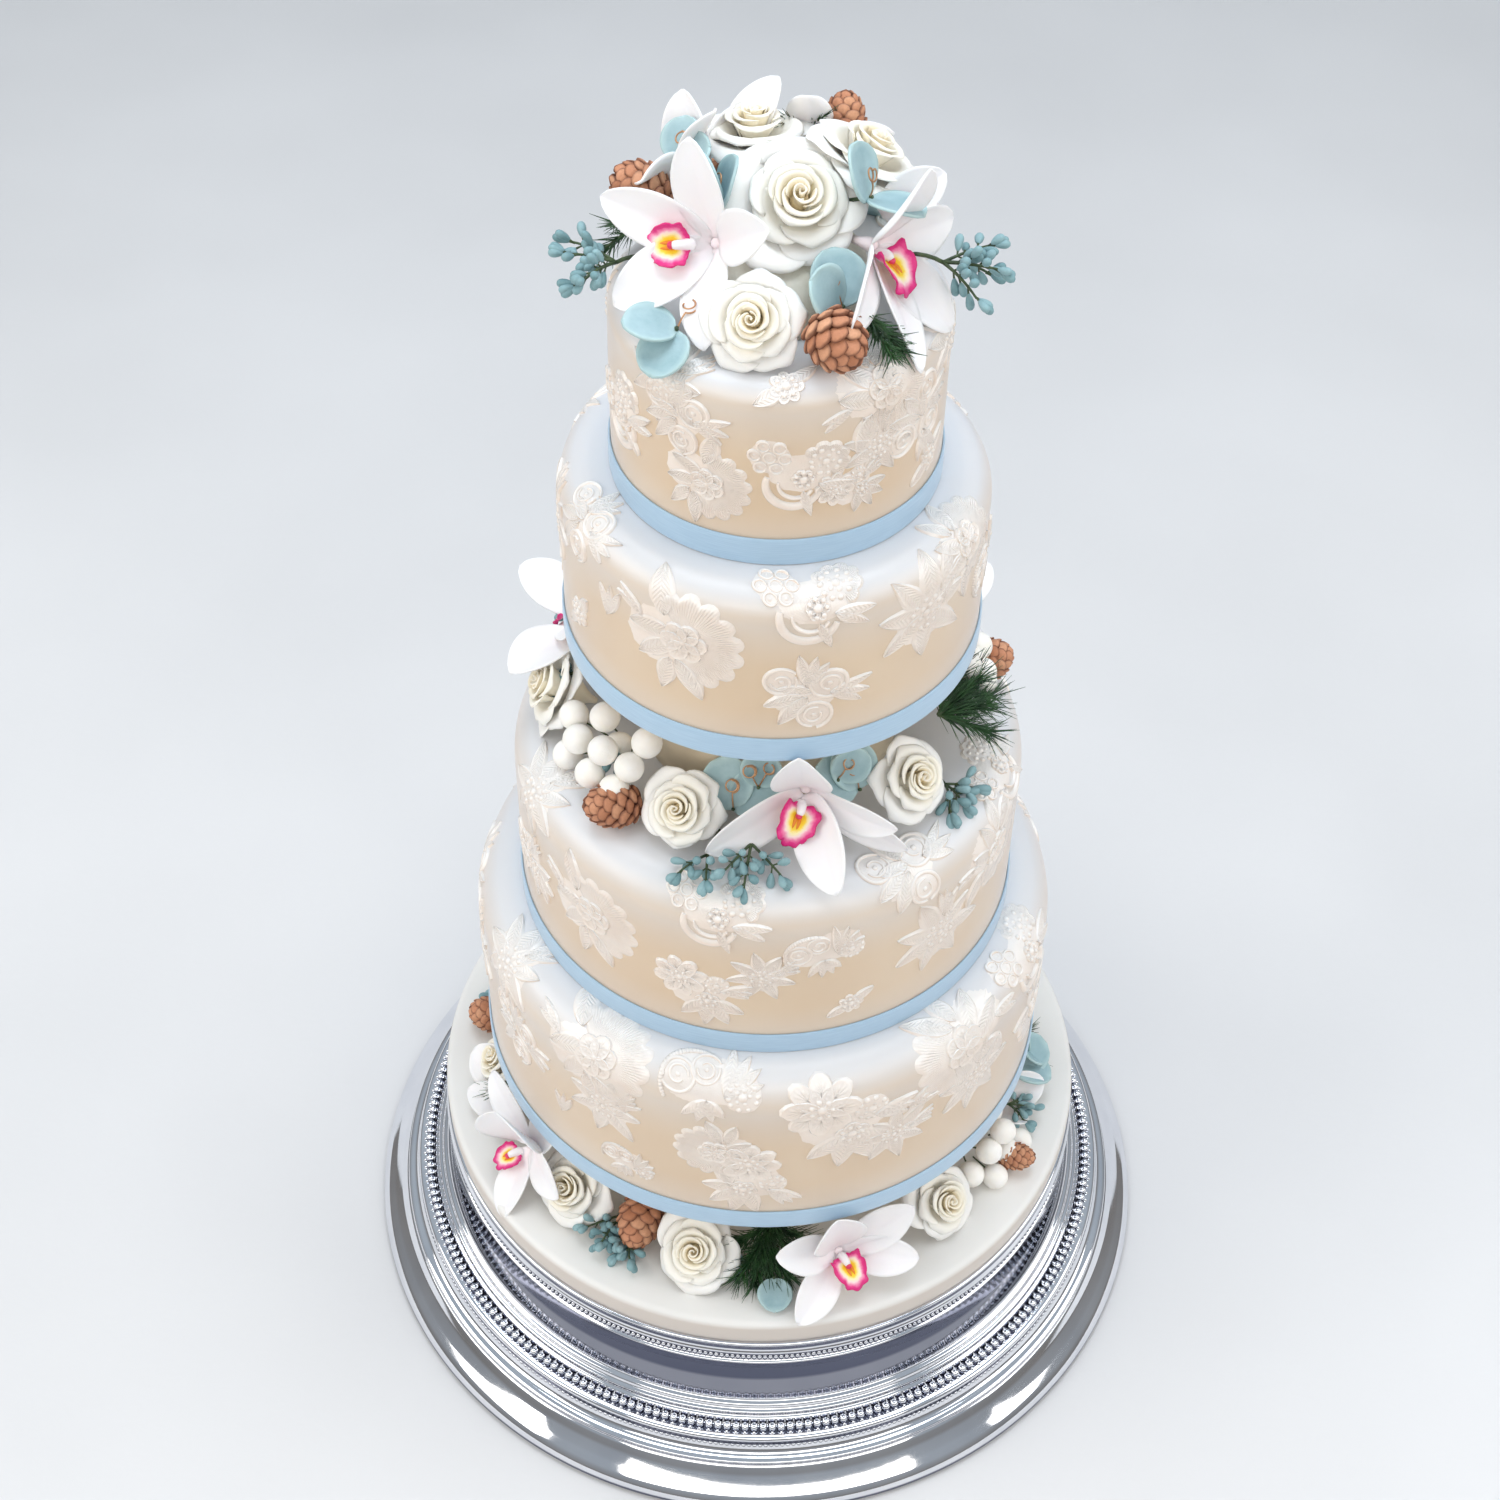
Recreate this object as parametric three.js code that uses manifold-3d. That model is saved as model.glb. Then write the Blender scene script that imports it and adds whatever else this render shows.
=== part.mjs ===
// Four-tier wedding cake on its silver stand, with sugar flowers on top, in the gap under the
// third tier and round the foot.
// Millimetres, +Z up. The origin is the middle of the stand's underside, and -Y is the front.
// A place on the cake is [azimuth, radius, height]: azimuth in degrees from the front, positive
// to the right. A direction is [heading, rise]: heading is an azimuth, rise is degrees above level.
import * as THREE from "three";
import { mergeVertices } from "three/addons/utils/BufferGeometryUtils.js";
import Module from "manifold-3d";

const wasm = await Module();
wasm.setup();

// ---- Driving dimensions ----

const GAP = 0.35; // clearance between pieces that touch
const PETAL_GAP = 0.6; // clearance that a sugar piece keeps for itself
const PLAINER = 0.3; // how far a cut piece's surface may shift when small triangles are dropped
const AROUND = 32; // sides of a tier, a ribbon and the board
const STAND = { height: 104.5, topRadius: 187, footRadius: 234.3 };
const BOARD = { radius: 186.3, thickness: 18, edge: 4 };
const TIER_RADIUS = { bottom: 155.6, second: 130.3, third: 100, top: 75 };
const TIER_HEIGHT = { bottom: 123.3, second: 111.4, third: 98.1, top: 93 };
const SHOULDER = { bottom: 22, second: 20, third: 15, top: 12 };
const SEPARATOR_RADIUS = { low: 108, middle: 66 };
const SEPARATOR_HEIGHT = { low: 52.2, middle: 71.2 };
const RIBBON = { height: 14.4, thickness: 1 };
const MOUND = { radius: 40, height: 30 };
const LACE_THICKNESS = 1.5;
const LACE_CROWN = 0.4; // how much further a motif stands out in its middle
const LACE_ROOT = 3; // how deep a motif is set into the icing
const LEAF_REACH = 8; // a lace motif with a smaller reach than this is a leaf
const PETAL_THICKNESS = 1.8;
const LEAF_THICKNESS = 1.6;
const BERRY_RADIUS = 8;

// Each height is the top of what lies below it plus the clearance.
const LEVEL = { board: STAND.height + GAP };
LEVEL.lowSeparator = LEVEL.board + BOARD.thickness + GAP;
LEVEL.bottom = LEVEL.lowSeparator + SEPARATOR_HEIGHT.low + GAP;
LEVEL.second = LEVEL.bottom + TIER_HEIGHT.bottom + GAP;
LEVEL.middleSeparator = LEVEL.second + TIER_HEIGHT.second + GAP;
LEVEL.third = LEVEL.middleSeparator + SEPARATOR_HEIGHT.middle + GAP;
LEVEL.top = LEVEL.third + TIER_HEIGHT.third + GAP;
LEVEL.mound = LEVEL.top + TIER_HEIGHT.top + GAP;

const COLOURS = {
  silver: [0xd9dadd, 0.12, 1],
  boardIcing: [0xf1eee2, 0.6, 0],
  tierIcing: [0xeadcc8, 0.4, 0],
  separator: [0xe6dcc6, 0.7, 0],
  ribbon: [0xacc5d9, 0.45, 0],
  paste: [0xf2efe6, 0.7, 0],
  rose: [0xf1ecdd, 0.6, 0],
  orchid: [0xf6f0ee, 0.6, 0],
  cone: [0xa9714a, 0.8, 0],
  leaf: [0x9dbfc2, 0.6, 0],
  seed: [0x86adb0, 0.6, 0],
  needle: [0x27402c, 0.7, 0],
  berry: [0xf3efe4, 0.6, 0],
};

// ---- Solids from three.js geometry ----

const radians = THREE.MathUtils.degToRad;

// A closed geometry as a manifold solid. Triangles that collapse at a pole are dropped.
function solidOf(geometry) {
  const bare = new THREE.BufferGeometry();
  bare.setAttribute("position", geometry.getAttribute("position"));
  bare.setIndex(geometry.index);
  const merged = mergeVertices(bare, 1e-3);
  const corners = merged.index.array;
  const triangles = [];
  for (let i = 0; i < corners.length; i += 3) {
    const [a, b, c] = corners.slice(i, i + 3);
    if (a !== b && b !== c && c !== a) triangles.push(a, b, c);
  }
  const mesh = new wasm.Mesh({
    numProp: 3,
    vertProperties: merged.attributes.position.array,
    triVerts: new Uint32Array(triangles),
  });
  return new wasm.Manifold(mesh);
}

function geometryOf(solid) {
  const mesh = solid.getMesh();
  const geometry = new THREE.BufferGeometry();
  geometry.setAttribute("position", new THREE.BufferAttribute(mesh.vertProperties, 3));
  geometry.setIndex(new THREE.BufferAttribute(mesh.triVerts, 1));
  geometry.computeVertexNormals();
  return geometry;
}

// A profile of [radius, height] points, bottom first, turned about +Z.
function turned(profile, sides = AROUND) {
  const points = profile.map(([r, z]) => new THREE.Vector2(r, z));
  return solidOf(new THREE.LatheGeometry(points, sides).rotateX(Math.PI / 2));
}

// A tube of equal rings closed to a point at each end. Seen from its end, a ring runs anticlockwise.
function lofted(start, rings, end) {
  const size = rings[0].length;
  const points = [start, ...rings.flat(), end];
  const last = points.length - 1;
  const corner = (ring, i) => 1 + ring * size + (i % size);
  const faces = [];
  for (let i = 0; i < size; i++) {
    faces.push(0, corner(0, i + 1), corner(0, i));
    for (let ring = 0; ring + 1 < rings.length; ring++) {
      const [a, b] = [corner(ring, i), corner(ring, i + 1)];
      const [c, d] = [corner(ring + 1, i), corner(ring + 1, i + 1)];
      faces.push(a, b, c, b, d, c);
    }
    faces.push(corner(rings.length - 1, i), corner(rings.length - 1, i + 1), last);
  }
  const geometry = new THREE.BufferGeometry().setFromPoints(points);
  geometry.setIndex(faces);
  return solidOf(geometry);
}

const joined = (solids) => solids.reduce((whole, piece) => whole.add(piece));

function moved(solid, matrix) {
  return solid.transform(matrix.elements);
}

function spun(solid, degrees) {
  return moved(solid, new THREE.Matrix4().makeRotationZ(radians(degrees)));
}

// Moves a petal out along its own length, so that its neighbours stay clear of its root.
function shifted(solid, distance) {
  return moved(solid, new THREE.Matrix4().makeTranslation(0, distance, 0));
}

function largestPiece(solid) {
  return solid.decompose().sort((a, b) => b.volume() - a.volume())[0];
}

// ---- Places ----

function direction([heading, rise]) {
  const [h, r] = [radians(heading), radians(rise)];
  return new THREE.Vector3(Math.sin(h) * Math.cos(r), -Math.cos(h) * Math.cos(r), Math.sin(r));
}

function point([azimuth, radius, height]) {
  return direction([azimuth, 0]).multiplyScalar(radius).setZ(height);
}

// The frame of a piece that faces along its own +Z, with its +Y as near upright as that allows.
function frame(place, facing, spin = 0) {
  const z = direction(facing);
  const x = new THREE.Vector3(0, 0, 1).cross(z).normalize();
  const y = z.clone().cross(x);
  const matrix = new THREE.Matrix4().makeBasis(x, y, z).setPosition(point(place));
  return matrix.multiply(new THREE.Matrix4().makeRotationZ(radians(spin)));
}

// ---- Stand, board, separators ----

function standProfile() {
  const { height, topRadius, footRadius } = STAND;
  return [
    [0, 0],
    [footRadius, 0],
    [footRadius, 5],
    [footRadius - 4, 11], // flared, polished foot
    [footRadius - 12, 18],
    [footRadius - 18, 24],
    [footRadius - 23, 28],
    [footRadius - 25, 38], // cove
    [topRadius + 17, 44], // large beads
    [topRadius + 3, 52],
    [topRadius - 0.5, 83], // smooth band
    [topRadius + 1, 90], // small beads
    [topRadius, height],
    [0, height],
  ];
}

function boardProfile() {
  const { radius, thickness, edge } = BOARD;
  const top = LEVEL.board + thickness;
  return [
    [0, LEVEL.board],
    [radius - 1, LEVEL.board],
    [radius, top - edge],
    [radius - edge / 3, top - edge / 3],
    [radius - edge, top],
    [0, top],
  ];
}

function drumProfile(radius, base, height) {
  return [[0, base], [radius, base], [radius, base + height], [0, base + height]];
}

// ---- Tiers ----

// The upright side and the rounded shoulder of a tier, as points [radius, height above its base].
function tierSide(name, grow) {
  const [radius, height, shoulder] = [TIER_RADIUS[name] + grow, TIER_HEIGHT[name] + grow, SHOULDER[name]];
  const bends = 3;
  const side = [];
  for (let i = 0; i <= bends; i++) {
    const angle = (Math.PI / 2) * (i / bends);
    side.push([radius - shoulder * (1 - Math.cos(angle)), height - shoulder * (1 - Math.sin(angle))]);
  }
  return side;
}

function plainTier(name, grow = 0) {
  const base = LEVEL[name];
  const side = tierSide(name, grow).map(([r, h]) => [r, base + h]);
  const radius = TIER_RADIUS[name] + grow;
  return turned([[0, base - grow], [radius, base - grow], ...side, [0, base + TIER_HEIGHT[name] + grow]]);
}

// A point on a tier's surface: along is measured up the side and over the shoulder.
function onTier(name, azimuth, along, proud) {
  const [radius, height, shoulder] = [TIER_RADIUS[name], TIER_HEIGHT[name], SHOULDER[name]];
  const over = Math.min(Math.max(along - (height - shoulder), 0) / shoulder, Math.PI / 2);
  const reach = radius - shoulder + (shoulder + proud) * Math.cos(over);
  const level = Math.min(along, height - shoulder) + (shoulder + proud) * Math.sin(over);
  return point([azimuth, reach, LEVEL[name] + level]);
}

// A raised plaque on a tier, with the outline given as reach in millimetres at each angle.
function plaque(name, [azimuth, along], outline, turn) {
  const sides = outline.length;
  const perDegree = radians(1) * TIER_RADIUS[name];
  const ring = (proud) => outline.map((reach, i) => {
    const angle = radians(turn) + (2 * Math.PI * i) / sides;
    const across = (reach * Math.cos(angle)) / perDegree;
    return onTier(name, azimuth + across, along + reach * Math.sin(angle), proud);
  });
  const [root, crown] = [-LACE_ROOT, LACE_THICKNESS + LACE_CROWN];
  return lofted(onTier(name, azimuth, along, root), [ring(root), ring(LACE_THICKNESS)],
    onTier(name, azimuth, along, crown));
}

// A scalloped blossom of four petals, and a leaf drawn out to a point at each end.
const BLOSSOM_OUTLINE = [1.05, 0.78, 1.05, 0.78, 1.05, 0.78, 1.05, 0.78];
const LEAF_OUTLINE = [1.3, 0.6, 0.6, 1.3, 0.6, 0.6];

function motif(name, [azimuth, along, reach, turn]) {
  const shape = reach < LEAF_REACH ? LEAF_OUTLINE : BLOSSOM_OUTLINE;
  return plaque(name, [azimuth, along], shape.map((share) => share * reach), turn);
}

// Motifs of the lace on each tier: [azimuth, distance up the side, reach, turn].
const LACE = {
  bottom: [
    [-65, 100, 11, 15], [-34, 100, 11, 0], [-12, 66, 11, 30], [4, 40, 7, 60], [15, 96, 11, 50],
    [41, 92, 11, 10], [69, 98, 11, 0], [110, 70, 11, 40], [150, 98, 11, 10], [-165, 66, 11, 30],
    [-112, 90, 11, 20],
  ],
  second: [
    [-66, 84, 10, 0], [-40, 68, 10, 20], [-12, 52, 10, 40], [18, 82, 10, 0], [44, 56, 10, 30],
    [74, 82, 10, 10], [116, 58, 10, 20], [162, 80, 10, 40], [-124, 62, 10, 0],
  ],
  third: [
    [-62, 74, 9, 0], [-25, 68, 10, 20], [12, 76, 9, 30], [10, 42, 7, 10], [44, 62, 10, 0],
    [86, 72, 9, 20], [130, 50, 9, 10], [178, 70, 9, 30], [-126, 56, 9, 0],
  ],
  top: [
    [-38, 66, 9, 10], [-18, 42, 7, 60], [5, 56, 9, 30], [55, 56, 9, 0],
    [105, 48, 9, 20], [160, 62, 9, 10], [-115, 54, 9, 30],
  ],
};

// The largest piece alone leaves out any pocket sealed under a motif.
function lacedTier(name) {
  const laced = joined([plainTier(name), ...LACE[name].map((each) => motif(name, each))]);
  return largestPiece(laced.simplify(PLAINER));
}

function ribbonProfile(name, grow = 0) {
  const inner = TIER_RADIUS[name] + GAP - grow;
  const outer = TIER_RADIUS[name] + GAP + RIBBON.thickness + grow;
  const [low, high] = [LEVEL[name] - grow, LEVEL[name] + RIBBON.height + grow];
  return [[inner, low], [outer, low], [outer, high], [inner, high], [inner, low]];
}

// ---- Sugar flowers and foliage ----
// Each maker returns one solid in its own frame: the piece faces +Z, and its stem end is below.
// grow thickens it all round, for the space that it takes out of its neighbours.

// A petal or leaf that runs along +Y from its base: a thin, bent and cupped solid with sharp edges.
function petal(form, grow = 0) {
  const { length, width, lift, bend, cup, full = 0.5, rows = 3, thickness = PETAL_THICKNESS } = form;
  const halfThick = thickness / 2 + grow;
  const step = (length + grow) / (rows + 1);
  const power = Math.log(0.5) / Math.log(full);
  let [y, z] = [-grow, 0];
  const start = new THREE.Vector3(0, y, z);
  const rings = [];
  for (let i = 1; i <= rows + 1; i++) {
    const slope = radians(lift + (bend * (i - 0.5)) / (rows + 1));
    y += step * Math.cos(slope);
    z += step * Math.sin(slope);
    if (i > rows) break;
    const half = (width / 2 + grow) * Math.sin(Math.PI * (i / (rows + 1)) ** power) ** 0.7;
    const spot = (s, side) => {
      const rise = cup * half * s * s + side * halfThick;
      return new THREE.Vector3(half * s, y - rise * Math.sin(slope), z + rise * Math.cos(slope));
    };
    rings.push([spot(-1, 0), spot(0, 1), spot(1, 0), spot(0, -1)]);
  }
  return lofted(start, rings, new THREE.Vector3(0, y, z));
}

// A straight tapered stem from one point to another.
function stem(from, to, thick, thin, sides = 4) {
  const [a, b] = [new THREE.Vector3(...from), new THREE.Vector3(...to)];
  const length = a.distanceTo(b);
  const turn = new THREE.Quaternion().setFromUnitVectors(
    new THREE.Vector3(0, 1, 0), b.clone().sub(a).divideScalar(length));
  const shape = new THREE.CylinderGeometry(thin, thick, length, sides).applyQuaternion(turn);
  const middle = a.add(b).multiplyScalar(0.5);
  return solidOf(shape.translate(middle.x, middle.y, middle.z));
}

// Tepals of an orchid: [angle, length, width, lift, bend], angle 0 at the top and clockwise.
const TEPALS = [
  [0, 1, 0.52, 30, -34], [-70, 1.02, 0.52, 26, -32], [70, 1.02, 0.52, 26, -32],
  [-142, 1, 0.48, 22, -26], [142, 1, 0.48, 22, -26],
];

function orchid({ size, tepals = TEPALS, lip = [180, 52] }, grow) {
  const pieces = tepals.map(([angle, length, width, lift, bend]) => {
    const form = { length: size * length, width: size * width, lift, bend, cup: 0.25, full: 0.56 };
    return spun(shifted(petal(form, grow), size * 0.06), -angle);
  });
  const [lipAngle, lift] = lip;
  const lipForm = { length: size * 0.5, width: size * 0.46, lift, bend: -70, cup: -0.35, rows: 2 };
  pieces.push(spun(shifted(petal(lipForm, grow), size * 0.06), -lipAngle));
  const [back, front] = [-size * 0.3 - grow, size * 0.15 + grow];
  pieces.push(stem([0, 0, back], [0, 0, front], size * 0.05 + grow, size * 0.14 + grow));
  return joined(pieces);
}

// A rose of the given radius: three whorls of rolled petals round a coiled heart, one inside the
// other. Each ring is [reach, height, depth of its lobes], in radii.
const ROSE_RINGS = [
  [0.34, -0.5, 0],
  [1.02, -0.14, 0.09],
  [0.98, -0.02, 0.09],
  [0.72, -0.14, 0.02],
  [0.74, 0.2, -0.07],
  [0.46, 0.04, 0],
  [0.46, 0.42, 0.05],
  [0.26, 0.42, 0.05],
];

function rose({ size }, grow) {
  const rings = ROSE_RINGS.map(([reach, height, lobe], ring) =>
    Array.from({ length: 10 }, (_, i) => {
      const angle = radians(36 * i + 5 * ring);
      const out = size * (reach + (i % 2 ? -lobe : lobe)) + grow;
      const level = size * height + (ring < 2 ? -grow : grow);
      return new THREE.Vector3(out * Math.cos(angle), out * Math.sin(angle), level);
    }));
  const stalk = new THREE.Vector3(0, 0, -size - 2 * grow);
  return lofted(stalk, rings, new THREE.Vector3(0, 0, size * 0.24 + grow));
}

// A small cone: rows of scales that stand out in turn round an egg-shaped body, tip at +Z.
function cone({ size, length = size * 1.5 }, grow) {
  const rows = 4;
  const around = 8;
  const rings = Array.from({ length: rows }, (_, row) => {
    const share = (row + 1) / (rows + 1);
    const girth = size * Math.sin(Math.PI * share ** 0.85) ** 0.6;
    return Array.from({ length: around }, (_, i) => {
      const stands = (i + row) % 2 ? 1.06 : 0.86;
      const angle = (2 * Math.PI * i) / around;
      const reach = girth * stands + grow;
      return new THREE.Vector3(reach * Math.cos(angle), reach * Math.sin(angle), length * (share - 0.5));
    });
  });
  const end = length / 2 + grow;
  return lofted(new THREE.Vector3(0, 0, -end), rings, new THREE.Vector3(0, 0, end));
}

// Two round eucalyptus leaves on one stalk: each is [angle, lift].
const LEAF_PAIR = [[-40, 25], [50, 30]];

function leaves({ size, pair = LEAF_PAIR }, grow) {
  const blades = pair.map(([angle, lift]) => {
    const form = { length: size, width: size * 0.95, lift, bend: -12, cup: 0.22, thickness: LEAF_THICKNESS };
    return spun(petal(form, grow), -angle);
  });
  return joined([...blades, stem([0, 0, -size * 0.4 - grow], [0, 0, 1], 1 + grow, 1 + grow)]);
}

const SEED = { radius: 3.2, half: 5 };

function seed(place, towards, grow) {
  const { radius, half } = SEED;
  const body = turned([[0, -half - grow], [radius + grow, half * 0.15], [0, half + grow]], 4);
  const matrix = new THREE.Matrix4().makeRotationFromQuaternion(
    new THREE.Quaternion().setFromUnitVectors(new THREE.Vector3(0, 0, 1), towards));
  return moved(body, matrix.setPosition(place));
}

// A spray of seed buds. Pairs stand off a stalk that runs along +Y and rises, and one ends it.
function seeds({ size, pairs = 4 }, grow) {
  const end = [0, size * 0.85, size * 0.1];
  const pieces = [stem([0, -grow, 0], end, 1.2 + grow, 0.9 + grow, 3)];
  for (let i = 0; i <= pairs; i++) {
    const along = 0.16 + (0.66 * i) / pairs;
    const root = new THREE.Vector3(0, size * along, size * along * 0.12);
    for (const side of i === pairs ? [0] : [-1, 1]) {
      const towards = new THREE.Vector3(side, 0.7, i % 2 ? 0.5 : -0.1).normalize();
      pieces.push(seed(root.addScaledVector(towards, SEED.half * 0.9).clone(), towards, grow));
      root.addScaledVector(towards, -SEED.half * 0.9);
    }
  }
  return joined(pieces);
}

// A three-sided needle, thickest a third of the way to its tip.
function spike(from, tip, thick) {
  const across = tip.clone().sub(from).cross(new THREE.Vector3(0, 0, 1)).setLength(thick);
  const waist = from.clone().lerp(tip, 0.35);
  const ring = [across.clone().negate(), new THREE.Vector3(0, 0, thick), across];
  return lofted(from, [ring.map((side) => waist.clone().add(side))], tip);
}

// A brush of needles that fans out along +Y from its stalk.
function needles({ size, count = 8 }, grow) {
  const pieces = [stem([0, -grow, 0], [0, size * 0.5, 0], 2.4 + grow, 1.5 + grow)];
  for (let i = 0; i < count; i++) {
    const fan = radians(-58 + (116 * i) / (count - 1));
    const lift = [-0.15, 0.5, 0.2][i % 3];
    const tip = new THREE.Vector3(Math.sin(fan), 0.35 + 0.65 * Math.cos(fan), lift).multiplyScalar(size);
    pieces.push(spike(new THREE.Vector3(0, size * (0.1 + 0.03 * i), 0), tip, 1.6 + grow));
  }
  return joined(pieces);
}

// Berries held against one another: each is a place [x, y, z] in berry diameters.
function berries({ cluster }, grow) {
  const step = 1.86 * BERRY_RADIUS;
  return joined(cluster.map(([x, y, z]) => {
    const berry = new THREE.OctahedronGeometry(BERRY_RADIUS + grow, 1);
    return solidOf(berry.translate(x * step, y * step, z * step));
  }));
}

const MAKERS = { orchid, rose, cone, leaves, seeds, needles, berries };

// ---- Where each sugar piece is ----
// name, kind, place, facing with spin, and its form. Later pieces give way to earlier ones.

const TOP = LEVEL.mound;
const TOP_SPRAY = [
  ["rose_top_centre", [58, 8, TOP + 44], [8, 56, 0], { size: 25 }],
  ["rose_top_front", [-11, 54, TOP + 19], [-14, 40, 0], { size: 21 }],
  ["orchid_top_left", [-57, 33, TOP + 32], [-37, 27, 0], {
    size: 43,
    lip: [246, 46],
    tepals: [[61, 0.98, 0.5, 40, -24], [153, 1.03, 0.5, 32, -22], [-145, 1.12, 0.56, 36, -20],
      [-87, 1.16, 0.5, 34, -20], [-22, 1.02, 0.52, 34, -22]],
  }],
  ["orchid_top_right", [68, 42, TOP + 31], [56, 6, 0], {
    size: 43,
    lip: [190, 80],
    tepals: [[98, 1, 0.54, 26, -22], [162, 1.14, 0.52, 44, -16], [-158, 1.26, 0.42, 44, -14],
      [-104, 1.08, 0.46, 32, -20], [11, 1.02, 0.52, 42, -18]],
  }],
  ["rose_top_back_left", [-163, 46, TOP + 47], [-176, 80, 0], { size: 21 }],
  ["rose_top_back_right", [126, 44, TOP + 48], [108, 62, 0], { size: 23 }],
  ["orchid_top_back_left", [-128, 52, TOP + 34], [-125, 35, 0], { size: 36 }],
  ["orchid_top_back", [170, 60, TOP + 24], [178, 28, 0], { size: 38 }],
  ["cone_top_front", [22, 62, TOP + 14], [40, -22, 0], { size: 12, length: 26 }],
  ["cone_top_left", [-104, 61, TOP + 35], [-92, 36, 0], { size: 11, length: 28 }],
  ["cone_top_back", [158, 68, TOP + 41], [160, 70, 0], { size: 9, length: 24 }],
  ["leaves_top_front", [34, 46, TOP + 16], [24, 52, 6], {
    size: 25,
    pair: [[14, 12], [-52, 48]],
  }],
  ["leaves_top_left", [-82, 26, TOP + 41], [-80, 22, 0], {
    size: 22,
    pair: [[-6, 10], [-46, 40]],
  }],
  ["leaves_top_back_left", [-118, 49, TOP + 43], [-40, 50, 8], {
    size: 20,
    pair: [[-16, 18], [64, 34]],
  }],
  ["leaves_top_right", [85, 36, TOP + 46], [70, 22, 0], {
    size: 25,
    pair: [[-4, 8], [196, 72]],
  }],
  ["leaves_top_front_left", [-42, 63, TOP + 9], [-40, 85, 0], {
    size: 23,
    pair: [[232, 20], [170, -16]],
  }],
  ["seeds_top_left", [-78, 66, TOP + 20], [-78, 75, 180], { size: 38, pairs: 4 }],
  ["seeds_top_right", [78, 64, TOP + 24], [80, 75, 180], { size: 42, pairs: 4 }],
  ["needles_top_front", [40, 58, TOP + 15], [42, 45, 190], { size: 26, count: 7 }],
];

const MIDDLE = LEVEL.middleSeparator;
const MIDDLE_WREATH = [
  ["rose_mid_front_left", [-25.5, 95, MIDDLE + 20], [-24, 44, 0], { size: 20 }],
  ["rose_mid_front_right", [47, 97, MIDDLE + 25], [44, 42, 0], { size: 21 }],
  ["rose_mid_left", [-86, 108, MIDDLE + 22], [-84, 30, 0], { size: 24 }],
  ["rose_mid_back", [168, 96, MIDDLE + 21], [168, 40, 0], { size: 22 }],
  ["orchid_mid_front", [13, 82, MIDDLE + 29], [-4, 4, 0], {
    size: 44,
    lip: [202, 76],
    tepals: [[-3, 1.22, 0.62, 48, -30], [94, 1.08, 0.42, 38, -28], [116, 1.26, 0.36, 18, -14],
      [146, 1.18, 0.56, 60, -16], [-116, 1.24, 0.5, 38, -20]],
  }],
  ["orchid_mid_left", [-112, 100, MIDDLE + 32], [-108, 34, 0], { size: 38 }],
  ["orchid_mid_right", [120, 98, MIDDLE + 32], [118, 34, 0], { size: 38 }],
  ["cone_mid_left", [-44, 106, MIDDLE + 11], [-72, 12, 0], { size: 10.5, length: 29 }],
  ["berries_mid_left", [-57, 94, MIDDLE + 26], [-55, 40, 0], {
    cluster: [[0, 0, 0], [-1, 0.3, 0], [1, 0.4, -0.1], [-0.5, 1, 0.3], [0.4, 1, 0.2],
      [-0.4, -0.9, 0], [0.6, -0.8, 0.1], [-1.4, -0.5, -0.2], [0, 0.1, 0.9]],
  }],
  ["berries_mid_right", [97, 100, MIDDLE + 30], [98, 35, 0], {
    cluster: [[0, 0, 0], [0.9, 0.3, 0], [-0.8, 0.5, 0.1], [0.1, -0.9, 0], [0.2, 0.9, 0.3]],
  }],
  ["leaves_mid_left", [-11, 83, MIDDLE + 16], [-8, 50, 0], {
    size: 26,
    pair: [[-20, 14], [46, 40]],
  }],
  ["leaves_mid_right", [31, 86, MIDDLE + 24], [32, 45, 0], {
    size: 25,
    pair: [[2, 14], [-62, 40]],
  }],
  ["seeds_mid_front", [-4, 94, MIDDLE + 12], [-3, 62, 180], { size: 36, pairs: 3 }],
  ["sprig_mid_right", [70, 90, MIDDLE + 34], [72, 55, 240], { size: 38, count: 9 }],
];

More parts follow.
